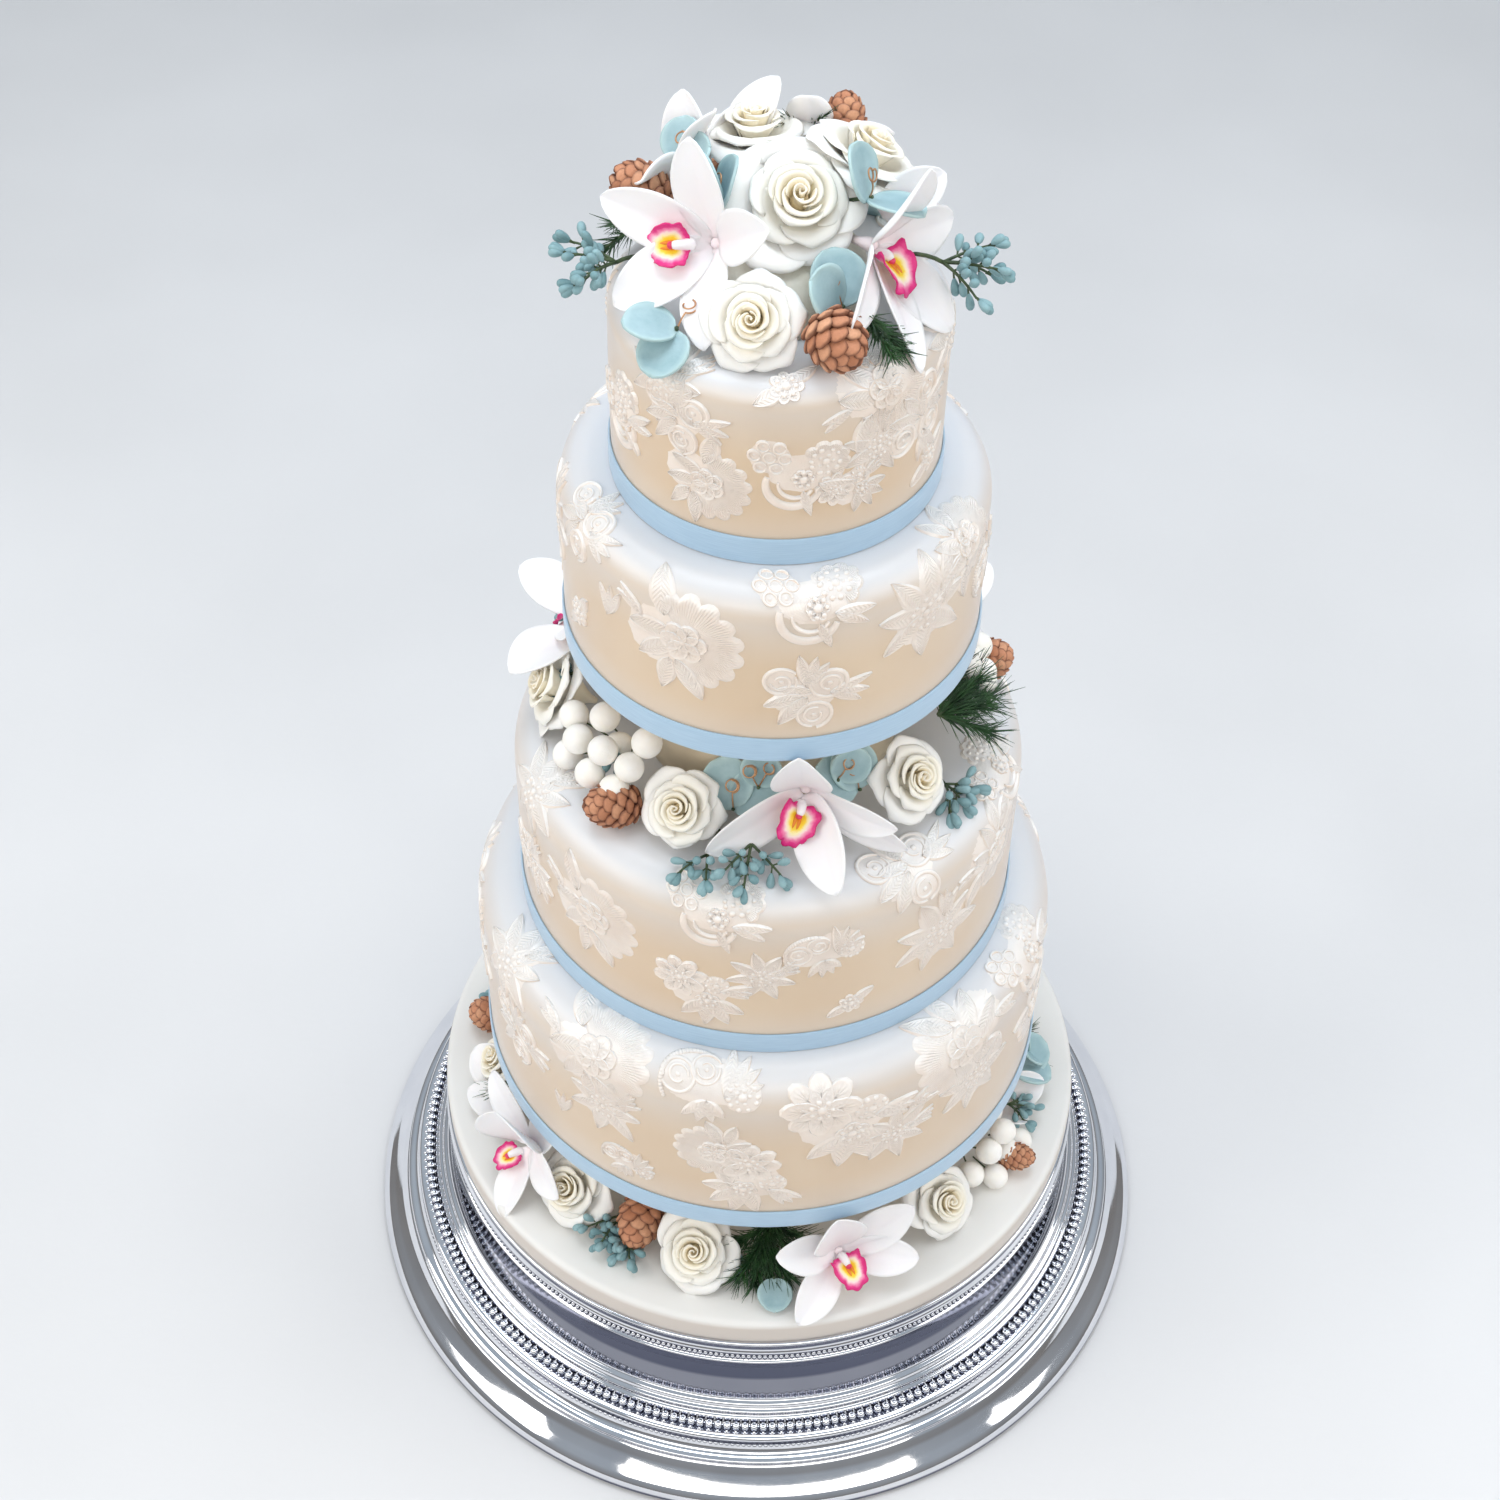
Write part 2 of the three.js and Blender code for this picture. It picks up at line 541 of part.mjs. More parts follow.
const LOW = LEVEL.lowSeparator;
const LOW_WREATH = [
  ["rose_low_front_left", [-42, 154, LOW + 20], [-40, 46, 0], { size: 23 }],
  ["rose_low_front", [-12, 155, LOW + 19], [-12, 52, 0], { size: 23 }],
  ["rose_low_right", [42, 156, LOW + 20], [42, 46, 0], { size: 23 }],
  ["rose_low_left", [-79, 152, LOW + 22], [-78, 40, 0], { size: 23 }],
  ["rose_low_back", [150, 150, LOW + 22], [150, 42, 0], { size: 23 }],
  ["orchid_low_front", [17, 158, LOW + 22], [20, 46, 0], {
    size: 42,
    lip: [168, 52],
    tepals: [[-10, 0.94, 0.72, 56, -22], [72, 1.1, 0.5, 24, -22], [109, 1.02, 0.5, 22, -22],
      [-135, 1.04, 0.5, 16, -20], [-75, 0.96, 0.5, 34, -22]],
  }],
  ["orchid_low_left", [-55, 156, LOW + 24], [-51, 32, 0], {
    size: 41,
    lip: [202, 60],
    tepals: [[-28, 0.9, 1.1, 70, -28], [26, 0.98, 0.5, 26, -22], [93, 0.97, 0.42, 26, -24],
      [162, 1.04, 0.5, 26, -22], [-72, 1.16, 0.46, 12, -16]],
  }],
  ["orchid_low_back", [-150, 152, LOW + 24], [-150, 46, 0], { size: 38 }],
  ["cone_low_front", [-26, 145, LOW + 15], [-20, -22, 0], { size: 12, length: 31 }],
  ["cone_low_right", [62, 167, LOW + 10], [80, 10, 0], { size: 7.5, length: 22 }],
  ["berries_low_right", [59, 150, LOW + 20], [58, 40, 0], {
    cluster: [[0, 0, 0], [0.7, 0.7, 0], [-0.6, 0.8, 0], [-0.2, -0.9, 0], [0.9, -0.3, 0.1], [0.3, 0.1, 0.9]],
  }],
  ["seeds_low_front", [-31, 140, LOW + 10], [-30, 72, 180], { size: 36, pairs: 3 }],
  ["sprig_low_front", [4, 134, LOW + 18], [4, 58, 180], { size: 28 }],
  ["leaves_low_right", [82, 148, LOW + 20], [84, 45, 10], {
    size: 25,
    pair: [[140, 50], [206, 44]],
  }],
];

// ---- Assembly ----

function material(name) {
  const [color, roughness, metalness] = COLOURS[name];
  return new THREE.MeshStandardMaterial({ color, roughness, metalness });
}

function meshOf(name, solid, colour) {
  const mesh = new THREE.Mesh(geometryOf(solid), material(colour));
  mesh.name = name;
  return mesh;
}

function moundProfile(grow) {
  const { radius, height } = MOUND;
  const base = LEVEL.mound;
  const dome = [0.5, 0.85].map((turn) => [
    (radius + grow) * Math.cos(turn), base + (height + grow) * Math.sin(turn) * 1.05]);
  return [[0, base], [radius + grow, base], ...dome, [0, base + height + grow]];
}

const KIND_OF = { sprig: "needles" };
const COLOUR_OF = { leaves: "leaf", seeds: "seed", needles: "needle", berries: "berry" };

// What is left of a piece outside the space taken by others, in fewer triangles where those
// still keep clear of its neighbours.
function cutClear(whole, taken, neighbours) {
  const cut = largestPiece(whole.subtract(taken).subtract(neighbours));
  const plain = largestPiece(cut.simplify(PLAINER));
  return plain.intersect(neighbours).isEmpty() ? plain : cut;
}

// Makes the pieces of one spray in turn. Each gives way to what is already there.
function spray(places, standing) {
  const group = new THREE.Group();
  let taken = standing;
  let neighbours = standing;
  for (const [name, place, [heading, rise, spin], form] of places) {
    const word = name.split("_")[0];
    const kind = KIND_OF[word] ?? word;
    const matrix = frame(place, [heading, rise], spin);
    const make = (grow) => moved(MAKERS[kind](form, grow), matrix);
    const piece = cutClear(make(0), taken, neighbours);
    taken = taken.add(make(PETAL_GAP));
    neighbours = neighbours.add(piece);
    const mesh = meshOf(name, moved(piece, matrix.clone().invert()), COLOUR_OF[kind] ?? kind);
    mesh.applyMatrix4(matrix);
    group.add(mesh);
  }
  return group;
}

const drum = (which, base, grow = 0) => turned(
  drumProfile(SEPARATOR_RADIUS[which] + grow, base - grow, SEPARATOR_HEIGHT[which] + 2 * grow), 24);

const cake = new THREE.Group();
cake.add(meshOf("stand", turned(standProfile()), "silver"));
cake.add(meshOf("iced_board", turned(boardProfile()), "boardIcing"));
cake.add(meshOf("separator_low", drum("low", LEVEL.lowSeparator), "separator"));
cake.add(meshOf("separator_middle", drum("middle", LEVEL.middleSeparator), "separator"));
for (const name of Object.keys(TIER_RADIUS)) {
  cake.add(meshOf(`tier_${name}`, lacedTier(name), "tierIcing"));
  cake.add(meshOf(`ribbon_${name}`, turned(ribbonProfile(name)), "ribbon"));
}
cake.add(meshOf("flower_mound", turned(moundProfile(0), 16), "paste"));

const ledge = (radius, top) => turned(drumProfile(radius, top - 10, 10 + GAP));
const ribbonSpace = (name) => turned(ribbonProfile(name, GAP));

cake.add(spray(TOP_SPRAY, joined([plainTier("top", GAP), turned(moundProfile(GAP), 16)])));
cake.add(spray(MIDDLE_WREATH, joined([
  plainTier("second", GAP), plainTier("third", GAP), ribbonSpace("third"), drum("middle", MIDDLE, GAP),
])));
cake.add(spray(LOW_WREATH, joined([
  ledge(BOARD.radius + GAP, LOW - GAP), plainTier("bottom", GAP), ribbonSpace("bottom"),
  drum("low", LOW, GAP),
])));

export default cake;
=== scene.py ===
import math

import bmesh
import bpy
import numpy as np
from mathutils import Matrix


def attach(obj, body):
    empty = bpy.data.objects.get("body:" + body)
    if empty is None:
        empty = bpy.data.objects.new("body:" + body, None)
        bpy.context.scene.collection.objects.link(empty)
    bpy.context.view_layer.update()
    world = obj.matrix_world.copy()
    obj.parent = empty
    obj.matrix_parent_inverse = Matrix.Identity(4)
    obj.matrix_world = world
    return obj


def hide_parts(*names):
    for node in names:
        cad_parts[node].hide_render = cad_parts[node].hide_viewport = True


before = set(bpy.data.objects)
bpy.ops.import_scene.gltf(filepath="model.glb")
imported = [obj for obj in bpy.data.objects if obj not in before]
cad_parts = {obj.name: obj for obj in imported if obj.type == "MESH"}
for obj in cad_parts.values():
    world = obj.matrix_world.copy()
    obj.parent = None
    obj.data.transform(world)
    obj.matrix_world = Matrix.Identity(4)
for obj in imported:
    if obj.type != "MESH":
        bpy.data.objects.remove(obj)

# Four-tier wedding cake on its silver stand. Sizes are in millimetres and go into the meshes in metres.
# A place is (azimuth, radius, height): azimuth in degrees from the front (-Y), positive to the right.
# A facing is (heading, rise): heading is an azimuth, rise is degrees above level.

MM = 0.001
CIRCLE = 2 * math.pi
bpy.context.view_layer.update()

# ---- Sizes, as in the solids ----

GAP = 0.35
STAND_TOP, STAND_FOOT, STAND_HEIGHT = 187.0, 234.3, 104.5
BOARD = {"radius": 186.3, "thickness": 18.0, "edge": 4.0}
# Radius, height and rounding of the shoulder.
TIERS = {"bottom": (155.6, 123.3, 22.0), "second": (130.3, 111.4, 20.0), "third": (100.0, 98.1, 15.0),
         "top": (75.0, 93.0, 12.0)}
SEPARATORS = {"low": (108.0, 52.2), "middle": (66.0, 71.2)}
RIBBON_HEIGHT, RIBBON_THICKNESS = 14.4, 1.0
MOUND_RADIUS, MOUND_HEIGHT = 40.0, 30.0
BERRY_RADIUS = 8.0

# The underside of each level, from the board up.
LEVEL, level = {}, STAND_HEIGHT + GAP
for name, height in (("board", BOARD["thickness"]), ("low", SEPARATORS["low"][1]), ("bottom", TIERS["bottom"][1]),
                     ("second", TIERS["second"][1]), ("middle", SEPARATORS["middle"][1]),
                     ("third", TIERS["third"][1]), ("top", TIERS["top"][1]), ("mound", MOUND_HEIGHT)):
    LEVEL[name] = level
    level += height + GAP


# ---- Places ----

def direction(heading, rise=0.0):
    h, r = math.radians(heading), math.radians(rise)
    return np.array([math.sin(h) * math.cos(r), -math.cos(h) * math.cos(r), math.sin(r)])


def spot(azimuth, radius, height):
    return direction(azimuth) * radius + np.array([0.0, 0.0, height])


def unit(vectors):
    return vectors / np.maximum(np.linalg.norm(vectors, axis=-1, keepdims=True), 1e-9)


def axes(x, y, z, origin):
    """The matrix of a frame with these axes and this origin."""
    m = np.eye(4)
    m[:3] = np.stack([x, y, z, origin], -1)
    return m


def shift(x, y, z):
    return axes(*np.eye(3), (x, y, z))


def turn_z(degrees):
    a = math.radians(degrees)
    return axes((math.cos(a), math.sin(a), 0), (-math.sin(a), math.cos(a), 0), (0, 0, 1), (0, 0, 0))


def aimed(origin, forward, up=(0.0, 0.0, 1.0)):
    """A frame at origin whose +Z is forward and whose +Y is as near up as that allows."""
    z = unit(np.asarray(forward, float))
    x = np.cross(up, z)
    x = unit(x) if np.linalg.norm(x) > 1e-6 else np.array([1.0, 0.0, 0.0])
    return axes(x, np.cross(z, x), z, origin)


def between(root, tip, facing):
    """A frame whose +Y runs from the root to the tip, and the distance between them."""
    root, tip = spot(*root), spot(*tip)
    ahead = unit(tip - root)
    face = direction(*facing)
    face = unit(face - ahead * np.dot(face, ahead))
    return axes(np.cross(ahead, face), ahead, face, root), float(np.linalg.norm(tip - root))


# ---- Shapes ----

def tints(shape, red=0.0, green=0.0, blue=0.0):
    """One tint for each point of a net."""
    return np.stack([np.broadcast_to(part, shape) for part in (red, green, blue)], -1).reshape(-1, 3)


class Shape:
    """Points, faces, material numbers and tints that become one mesh."""

    def __init__(self):
        self.points, self.tints, self.faces, self.marks = [], [], [], []
        self.size = 0

    def add(self, made, matrix=None, mark=0, tint=(0.0, 0.0, 0.0)):
        points, faces = made
        if matrix is not None:
            points = points @ matrix[:3, :3].T + matrix[:3, 3]
        self.points.append(points)
        self.tints.append(np.broadcast_to(tint, (len(points), 3)))
        self.faces += [[i + self.size for i in face] for face in faces]
        self.marks += [mark] * len(faces)
        self.size += len(points)

    def add_sheet(self, top, thickness, matrix, mark=0, **tint):
        """A closed shell under a net, the same tint on both its sides."""
        one = tints(top.shape[:2], **tint)
        self.add(sheet(top, thickness), matrix, mark, np.concatenate([one, one]))

    def piece(self, name, materials, slot, nodes=(), sharp=None):
        """The finished Blender object. It rides on the cake and replaces the solids named in nodes."""
        mesh = bpy.data.meshes.new(name)
        mesh.from_pydata((np.concatenate(self.points) * MM).tolist(), [], self.faces)
        mesh.polygons.foreach_set("material_index", self.marks)
        rgba = np.pad(np.concatenate(self.tints), ((0, 0), (0, 1)), constant_values=1.0)
        mesh.attributes.new("tint", "FLOAT_COLOR", "POINT").data.foreach_set("color", rgba.ravel())
        finished(name, mesh, materials, slot, nodes, sharp)


def finished(name, mesh, materials, slot, nodes=(), sharp=None):
    bm = bmesh.new()
    bm.from_mesh(mesh)
    bmesh.ops.recalc_face_normals(bm, faces=bm.faces)
    bm.to_mesh(mesh)
    bm.free()
    mesh.polygons.foreach_set("use_smooth", [True] * len(mesh.polygons))
    if sharp is not None:
        mesh.set_sharp_from_angle(angle=math.radians(sharp))
    for material in materials:
        mesh.materials.append(material)
    mesh.update()
    piece = in_scene(name, mesh)
    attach(piece, "root")
    if nodes:
        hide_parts(*nodes)


def in_scene(name, data):
    made = bpy.data.objects.new(name, data)
    bpy.context.scene.collection.objects.link(made)
    return made


def grid(rows, cols, start=0.0):
    """Nets of u, from start to 1 along the rows, and of v, from -1 to 1 along the columns."""
    return np.meshgrid(np.linspace(start, 1, rows), np.linspace(-1, 1, cols), indexing="ij")


def ridge(value, middle, width):
    return np.exp(-((value - middle) / width) ** 2)


def numbers(rows, cols):
    return np.arange(rows * cols).reshape(rows, cols)


def net(rows, cols):
    """Quads between the points of a rows by cols net."""
    at = numbers(rows, cols)
    return np.stack([at[:-1, :-1], at[:-1, 1:], at[1:, 1:], at[1:, :-1]], -1).reshape(-1, 4)


def rim(rows, cols):
    """The numbers of the points round the edge of a net."""
    at = numbers(rows, cols)
    return np.concatenate([at[0], at[1:, -1], at[-1, -2::-1], at[-2:0:-1, 0]])


def sheet(top, thickness):
    """A closed shell under a net of points, its thickness a number or one for each point."""
    rows, cols = top.shape[:2]
    normal = unit(np.cross(np.gradient(top, axis=1), np.gradient(top, axis=0)))
    low = top - normal * np.broadcast_to(thickness, (rows, cols))[..., None]
    upper, edge, count = net(rows, cols), rim(rows, cols), rows * cols
    after = np.roll(edge, -1)
    wall = np.stack([edge, edge + count, after + count, after], -1)
    faces = np.concatenate([upper, upper[:, ::-1] + count, wall]).tolist()
    return np.concatenate([top, low]).reshape(-1, 3), faces


def stud(top, under):
    """A closed shell with a flat underside, of which only the rim of the net under is used."""
    rows, cols = top.shape[:2]
    edge = rim(rows, cols)
    low = rows * cols + np.arange(len(edge))
    wall = np.stack([edge, low, np.roll(low, -1), np.roll(edge, -1)], -1)
    points = np.concatenate([top.reshape(-1, 3), under.reshape(-1, 3)[edge]])
    return points, net(rows, cols).tolist() + wall.tolist() + [low[::-1].tolist()]


def loft(rings, start=None, end=None):
    """A closed tube through equal rings, each end drawn to a point or to the middle of its ring."""
    rings = np.asarray(rings, float)
    rows, cols = rings.shape[:2]
    ends = [rings[k].mean(0) if tip is None else tip for k, tip in ((0, start), (-1, end))]
    at = numbers(rows, cols)
    after = np.roll(at, -1, axis=1)
    faces = np.stack([at[:-1], after[:-1], after[1:], at[1:]], -1).reshape(-1, 4).tolist()
    faces += [[rows * cols, *pair] for pair in np.stack([after[0], at[0]], -1).tolist()]
    faces += [[rows * cols + 1, *pair] for pair in np.stack([at[-1], after[-1]], -1).tolist()]
    return np.concatenate([rings.reshape(-1, 3), ends]), faces


def round_turn(sides):
    return np.linspace(0, CIRCLE, sides, endpoint=False)


def lathe(profile, sides, wobble=None):
    """A profile of (radius, height) turned about +Z. The first and last points lie on the axis."""
    profile = np.asarray(profile, float)
    angle = round_turn(sides)
    radius, height = (profile[1:-1, k, None] * np.ones(sides) for k in (0, 1))
    if wobble is not None:
        radius, height = wobble(radius, height, angle)
    rings = np.stack([radius * np.cos(angle), radius * np.sin(angle), height], -1)
    return loft(rings, (0, 0, profile[0, 1]), (0, 0, profile[-1, 1]))


def egg(reach, half, rows=6, sides=10, fat=0.0):
    """A closed egg of the given radius and half length along +Z, fatter towards its end where fat > 0."""
    share = np.linspace(0, math.pi, rows + 2)[1:-1]
    level = -np.cos(share)
    girth = reach * np.sin(share) * (1 + fat * level)
    return lathe([(0, -half), *zip(girth, half * level), (0, half)], sides)


def tube(path, radius, sides=6):
    """A round wire along a path of points, its radius a number or one for each point."""
    path = np.asarray(path, float)
    ahead = unit(np.gradient(path, axis=0))
    side = np.cross(ahead[0], (0.0, 0.0, 1.0))
    if np.linalg.norm(side) < 1e-3:
        side = np.array([1.0, 0.0, 0.0])
    angle = round_turn(sides)[:, None]
    rings = []
    for middle, forward, reach in zip(path, ahead, np.broadcast_to(radius, len(path))):
        side = unit(side - forward * np.dot(side, forward))
        rings.append(middle + (np.cos(angle) * side + np.sin(angle) * np.cross(forward, side)) * reach)
    return loft(rings)


def smooth_path(points, count):
    """A smooth curve through a few points."""
    points = np.asarray(points, float)
    steps, degree = np.linspace(0, 1, len(points)), min(len(points) - 1, 3)
    return np.stack([np.polyval(np.polyfit(steps, part, degree), np.linspace(0, 1, count)) for part in points.T], -1)


def wave(seed, count, lowest):
    """A smooth function of an angle, about -1 to 1, from a few seeded waves."""
    rng = np.random.default_rng(seed)
    turns = np.arange(lowest, lowest + count)
    size = rng.uniform(0.5, 1, count) / (1 + 0.5 * np.arange(count))
    phase = rng.uniform(0, CIRCLE, count)
    return lambda a: sum(s * np.sin(k * a + p) for k, s, p in zip(turns, size, phase)) / size.sum()


# ---- Finishes ----

def linear(rgb):
    c = np.asarray(rgb, float) / 255
    return tuple(np.where(c <= 0.04045, c / 12.92, ((c + 0.055) / 1.055) ** 2.4)) + (1.0,)


class Nodes:
    """Makes and joins the nodes of one tree."""

    def __init__(self, tree):
        self.tree = tree

    def fill(self, socket, value):
        """Links an output to the socket or sets the value. Colours are given in 0 to 255."""
        if isinstance(value, bpy.types.NodeSocket):
            self.tree.links.new(value, socket)
        else:
            socket.default_value = linear(value) if socket.type == "RGBA" else value

    def node(self, kind, filled=(), **settings):
        """The outputs of a new node whose inputs are filled by name or number."""
        node = self.tree.nodes.new(kind)
        for key, value in settings.items():
            setattr(node, key, value)
        for key, value in dict(filled).items():
            self.fill(node.inputs[key], value)
        return node.outputs

    def sum(self, way, a, b=0.0):
        return self.node("ShaderNodeMath", {0: a, 1: b}, operation=way)[0]


class Finish(Nodes):
    """A procedural material on the Principled shader. Light goes in by the share scatter."""

    def __init__(self, name, scatter=0.0, **sockets):
        self.material = bpy.data.materials.new(name)
        self.material.use_nodes = True
        super().__init__(self.material.node_tree)
        self.shader = self.tree.nodes["Principled BSDF"].inputs
        if scatter:
            sockets.update(Subsurface_Weight=scatter, Subsurface_Radius=(1.0, 0.82, 0.66), Subsurface_Scale=0.002)
        for label, value in sockets.items():
            self.fill(self.shader[label.replace("_", " ")], value)

    def noise(self, scale, detail=3.0, rough=0.5, stretch=None):
        at = self.node("ShaderNodeTexCoord")["Object"]
        if stretch:
            at = self.node("ShaderNodeMapping", {"Vector": at, "Scale": stretch})[0]
        return self.node("ShaderNodeTexNoise", {"Vector": at, "Scale": scale, "Detail": detail,
                                                "Roughness": rough})[0]

    def tint(self):
        colour = self.node("ShaderNodeAttribute", attribute_name="tint")["Color"]
        return self.node("ShaderNodeSeparateColor", {"Color": colour})

    def ramp(self, factor, *stops):
        made = self.node("ShaderNodeValToRGB", {"Fac": factor})
        elements = made[0].node.color_ramp.elements
        while len(elements) < len(stops):
            elements.new(0.5)
        for element, (position, colour) in zip(elements, stops):
            element.position, element.color = position, linear(colour)
        return made["Color"]

    def grain(self, noise, low, high):
        """A colour that wanders between two."""
        return self.ramp(self.noise(*noise), (0.3, low), (0.7, high))

    def blend(self, factor, a, b):
        return self.node("ShaderNodeMix", {0: factor, 6: a, 7: b}, data_type="RGBA")[2]

    def span(self, value, low, high, start=0.0, end=1.0):
        return self.node("ShaderNodeMapRange", {"Value": value, "From Min": start, "From Max": end,
                                                "To Min": low, "To Max": high})["Result"]

    def painted_top_light(self, start, end):
        """A mask for painted light: 0 on upright faces, rising to 1 on faces that look up."""
        normal = self.node("ShaderNodeNewGeometry")["Normal"]
        return self.span(self.node("ShaderNodeSeparateXYZ", {0: normal})["Z"], 0.0, 1.0, start, end)

    def done(self, colour, rough, *bumps):
        """Ends the material. Rough is a noise and the roughness it swings between. A bump is a height, or the
        noise for it, and its depth in mm. Each lies on the one before."""
        (low, high), normal = rough[1:], None
        for height, depth in bumps:
            height = self.noise(*height) if isinstance(height, tuple) else height
            filled = {"Height": height, "Distance": depth * MM, "Strength": 1.0}
            normal = self.node("ShaderNodeBump", {**filled, "Normal": normal} if normal else filled)["Normal"]
        roughness = self.span(self.noise(*rough[0]), low, high)
        for label, value in (("Base Color", colour), ("Roughness", roughness), ("Normal", normal)):
            self.fill(self.shader[label], value)
        return self.material


def plain(name, scatter, noise, low, high, rough, bump, **sockets):
    """A finish of one colour with a fine grain."""
    f = Finish(name, scatter, **sockets)
    return f.done(f.grain(noise, low, high), rough, bump)


def tier_icing():
    """Cream icing with painted light: a cooler white painted on the faces that look up, and on the side where the
    tint's red says.
    """
    f = Finish("pearl_icing", 0.1, Coat_Weight=0.5, Coat_Roughness=0.3, Coat_Tint=(232, 241, 255),
               Sheen_Weight=0.3, Sheen_Roughness=0.45, Sheen_Tint=(244, 246, 255))
    cream = f.grain((14, 2), (229, 195, 153), (236, 206, 167))
    # Painted light: the paler white laid over the cream on faces that look up and on the lighter parts of the side.
    painted_light = f.sum("MAXIMUM", f.painted_top_light(-0.05, 0.85), f.tint()[0])
    return f.done(f.blend(painted_light, cream, (230, 227, 223)), ((60, 2), 0.36, 0.5), ((45, 1), 0.4), ((900, 2), 0.04))


def lace_icing():
    """Tint: red counts the fine embossed lines, green is how strongly they show. Faces that look up get painted
    light, a lighter white over the cream.
    """
    f = Finish("pearl_lace", 0.1, Coat_Weight=0.8, Coat_Roughness=0.2)
    lines, depth, _ = f.tint()[:3]
    cream = f.grain((60, 3), (237, 220, 205), (245, 232, 220))
    emboss = f.sum("MULTIPLY", f.sum("COSINE", f.sum("MULTIPLY", lines, CIRCLE)), depth)
    return f.done(f.blend(f.painted_top_light(0.1, 0.95), cream, (240, 238, 236)), ((300, 2), 0.26, 0.4),
                  ((1300, 3, 0.6), 0.14), (emboss, 0.16))


def board_icing():
    f = Finish("board_icing", 0.1, Coat_Weight=0.15, Coat_Roughness=0.35)
    white = f.grain((12, 2), (224, 223, 220), (231, 230, 227))
    # Painted shade: the upright side of the board is painted a darker beige than its white top.
    return f.done(f.blend(f.painted_top_light(0.05, 0.7), (214, 205, 196), white), ((70, 2), 0.42, 0.56),
                  ((35, 1), 0.5), ((900, 2), 0.04))


def ribbon_satin():
    f = Finish("blue_satin", Sheen_Weight=0.25, Sheen_Roughness=0.4, Coat_Weight=0.2, Coat_Roughness=0.35)
    threads = f.noise(1.0, 2, 0.5, (90, 90, 2600))
    return f.done(f.ramp(threads, (0.25, (164, 195, 220)), (0.75, (180, 208, 230))), ((50, 2), 0.32, 0.48),
                  (threads, 0.05))


def silver():
    """Bright on what looks up, with a painted dark reflection on the upright walls between the bands of beads."""
    f = Finish("polished_silver", Metallic=1.0)
    bright = f.grain((25, 3), (226, 228, 234), (240, 241, 245))
    return f.done(f.blend(f.painted_top_light(0.12, 0.3), (90, 94, 113), bright), ((160, 5, 0.6), 0.03, 0.09),
                  ((1.0, 3, 0.6, (900, 900, 90)), 0.003), ((24, 2), 0.09))


def rose_petal():
    """Tint: red is 0 in the heart and 1 in the outermost petals, green runs up to the petal's edge."""
    f = Finish("rose_petal", 0.22)
    depth, up, _ = f.tint()[:3]
    # The heart is a warmer cream than the outer petals: partly the paste's own tint, partly painted warm shade in the
    # rose's deep heart.
    body = f.ramp(depth, (0.0, (245, 229, 194)), (0.4, (249, 241, 220)), (1.0, (247, 246, 244)))
    edge = f.ramp(up, (0.55, (249, 244, 230)), (1.0, (249, 249, 247)))
    return f.done(f.blend(f.span(up, 0.0, 0.5), body, edge), ((300, 3), 0.46, 0.6), ((520, 4, 0.6), 0.08))


def orchid_tepal():
    """Tint: red runs along the tepal and green from its middle to its sides."""
    f = Finish("orchid_tepal", 0.2)
    along, side, _ = f.tint()[:3]
    blush = f.ramp(along, (0.0, (246, 214, 220)), (0.35, (240, 228, 232)), (1.0, (236, 236, 242)))
    line = f.sum("MULTIPLY", f.span(side, 1.0, 0.0), f.span(f.noise(90), 0.1, 0.6))
    return f.done(f.blend(line, (244, 243, 244), blush), ((300, 3), 0.42, 0.56), ((500, 4, 0.6), 0.08))


def orchid_lip():
    """Tint: red is 0 at the frilled rim and 1 in the throat."""
    f = Finish("orchid_lip", 0.12, Coat_Weight=0.1)
    ragged = f.sum("ADD", f.tint()[0], f.span(f.noise(420), -0.09, 0.09))
    colour = f.ramp(ragged, (0.0, (212, 22, 116)), (0.15, (224, 46, 134)), (0.28, (243, 150, 184)),
                    (0.39, (252, 226, 218)), (0.5, (252, 236, 176)), (0.62, (250, 212, 44)),
                    (0.85, (246, 186, 18)), (1.0, (232, 132, 30)))
    return f.done(colour, ((300, 3), 0.4, 0.54), ((600, 4, 0.6), 0.1))


def cone_scale():
    """Tint: red is 0 in the gaps and 1 on the face of a scale, green is a draw for each scale."""
    f = Finish("cone_scale")
    face, draw, _ = f.tint()[:3]
    brown = f.ramp(draw, (0.0, (188, 126, 92)), (0.5, (208, 147, 113)), (1.0, (222, 167, 131)))
    grain = f.blend(f.span(f.noise(900, 4, 0.7), -0.1, 0.4), brown, (136, 82, 56))
    return f.done(f.blend(f.span(face, 1.0, 0.0), grain, (84, 44, 28)), ((500, 3), 0.62, 0.85),
                  ((1100, 4, 0.7), 0.2))


def leaf_paste():
    """Tint: red runs from the middle of the leaf to its rim."""
    f = Finish("eucalyptus_leaf", 0.1)
    body = f.grain((70, 4, 0.6), (140, 172, 179), (166, 194, 200))
    return f.done(f.blend(f.span(f.tint()[0], -1.4, 0.7), body, (184, 210, 210)), ((300, 3), 0.48, 0.64),
                  ((700, 4, 0.6), 0.12))


def seed_bud():
    """Tint: red is a draw for each bud."""
    f = Finish("eucalyptus_bud", 0.1)
    body = f.ramp(f.tint()[0], (0.0, (96, 134, 140)), (0.5, (118, 154, 160)), (1.0, (138, 172, 178)))
    return f.done(f.blend(f.span(f.noise(260, 4, 0.65), -0.2, 0.6), body, (156, 188, 192)),
                  ((400, 3), 0.5, 0.7), ((800, 4, 0.6), 0.12))


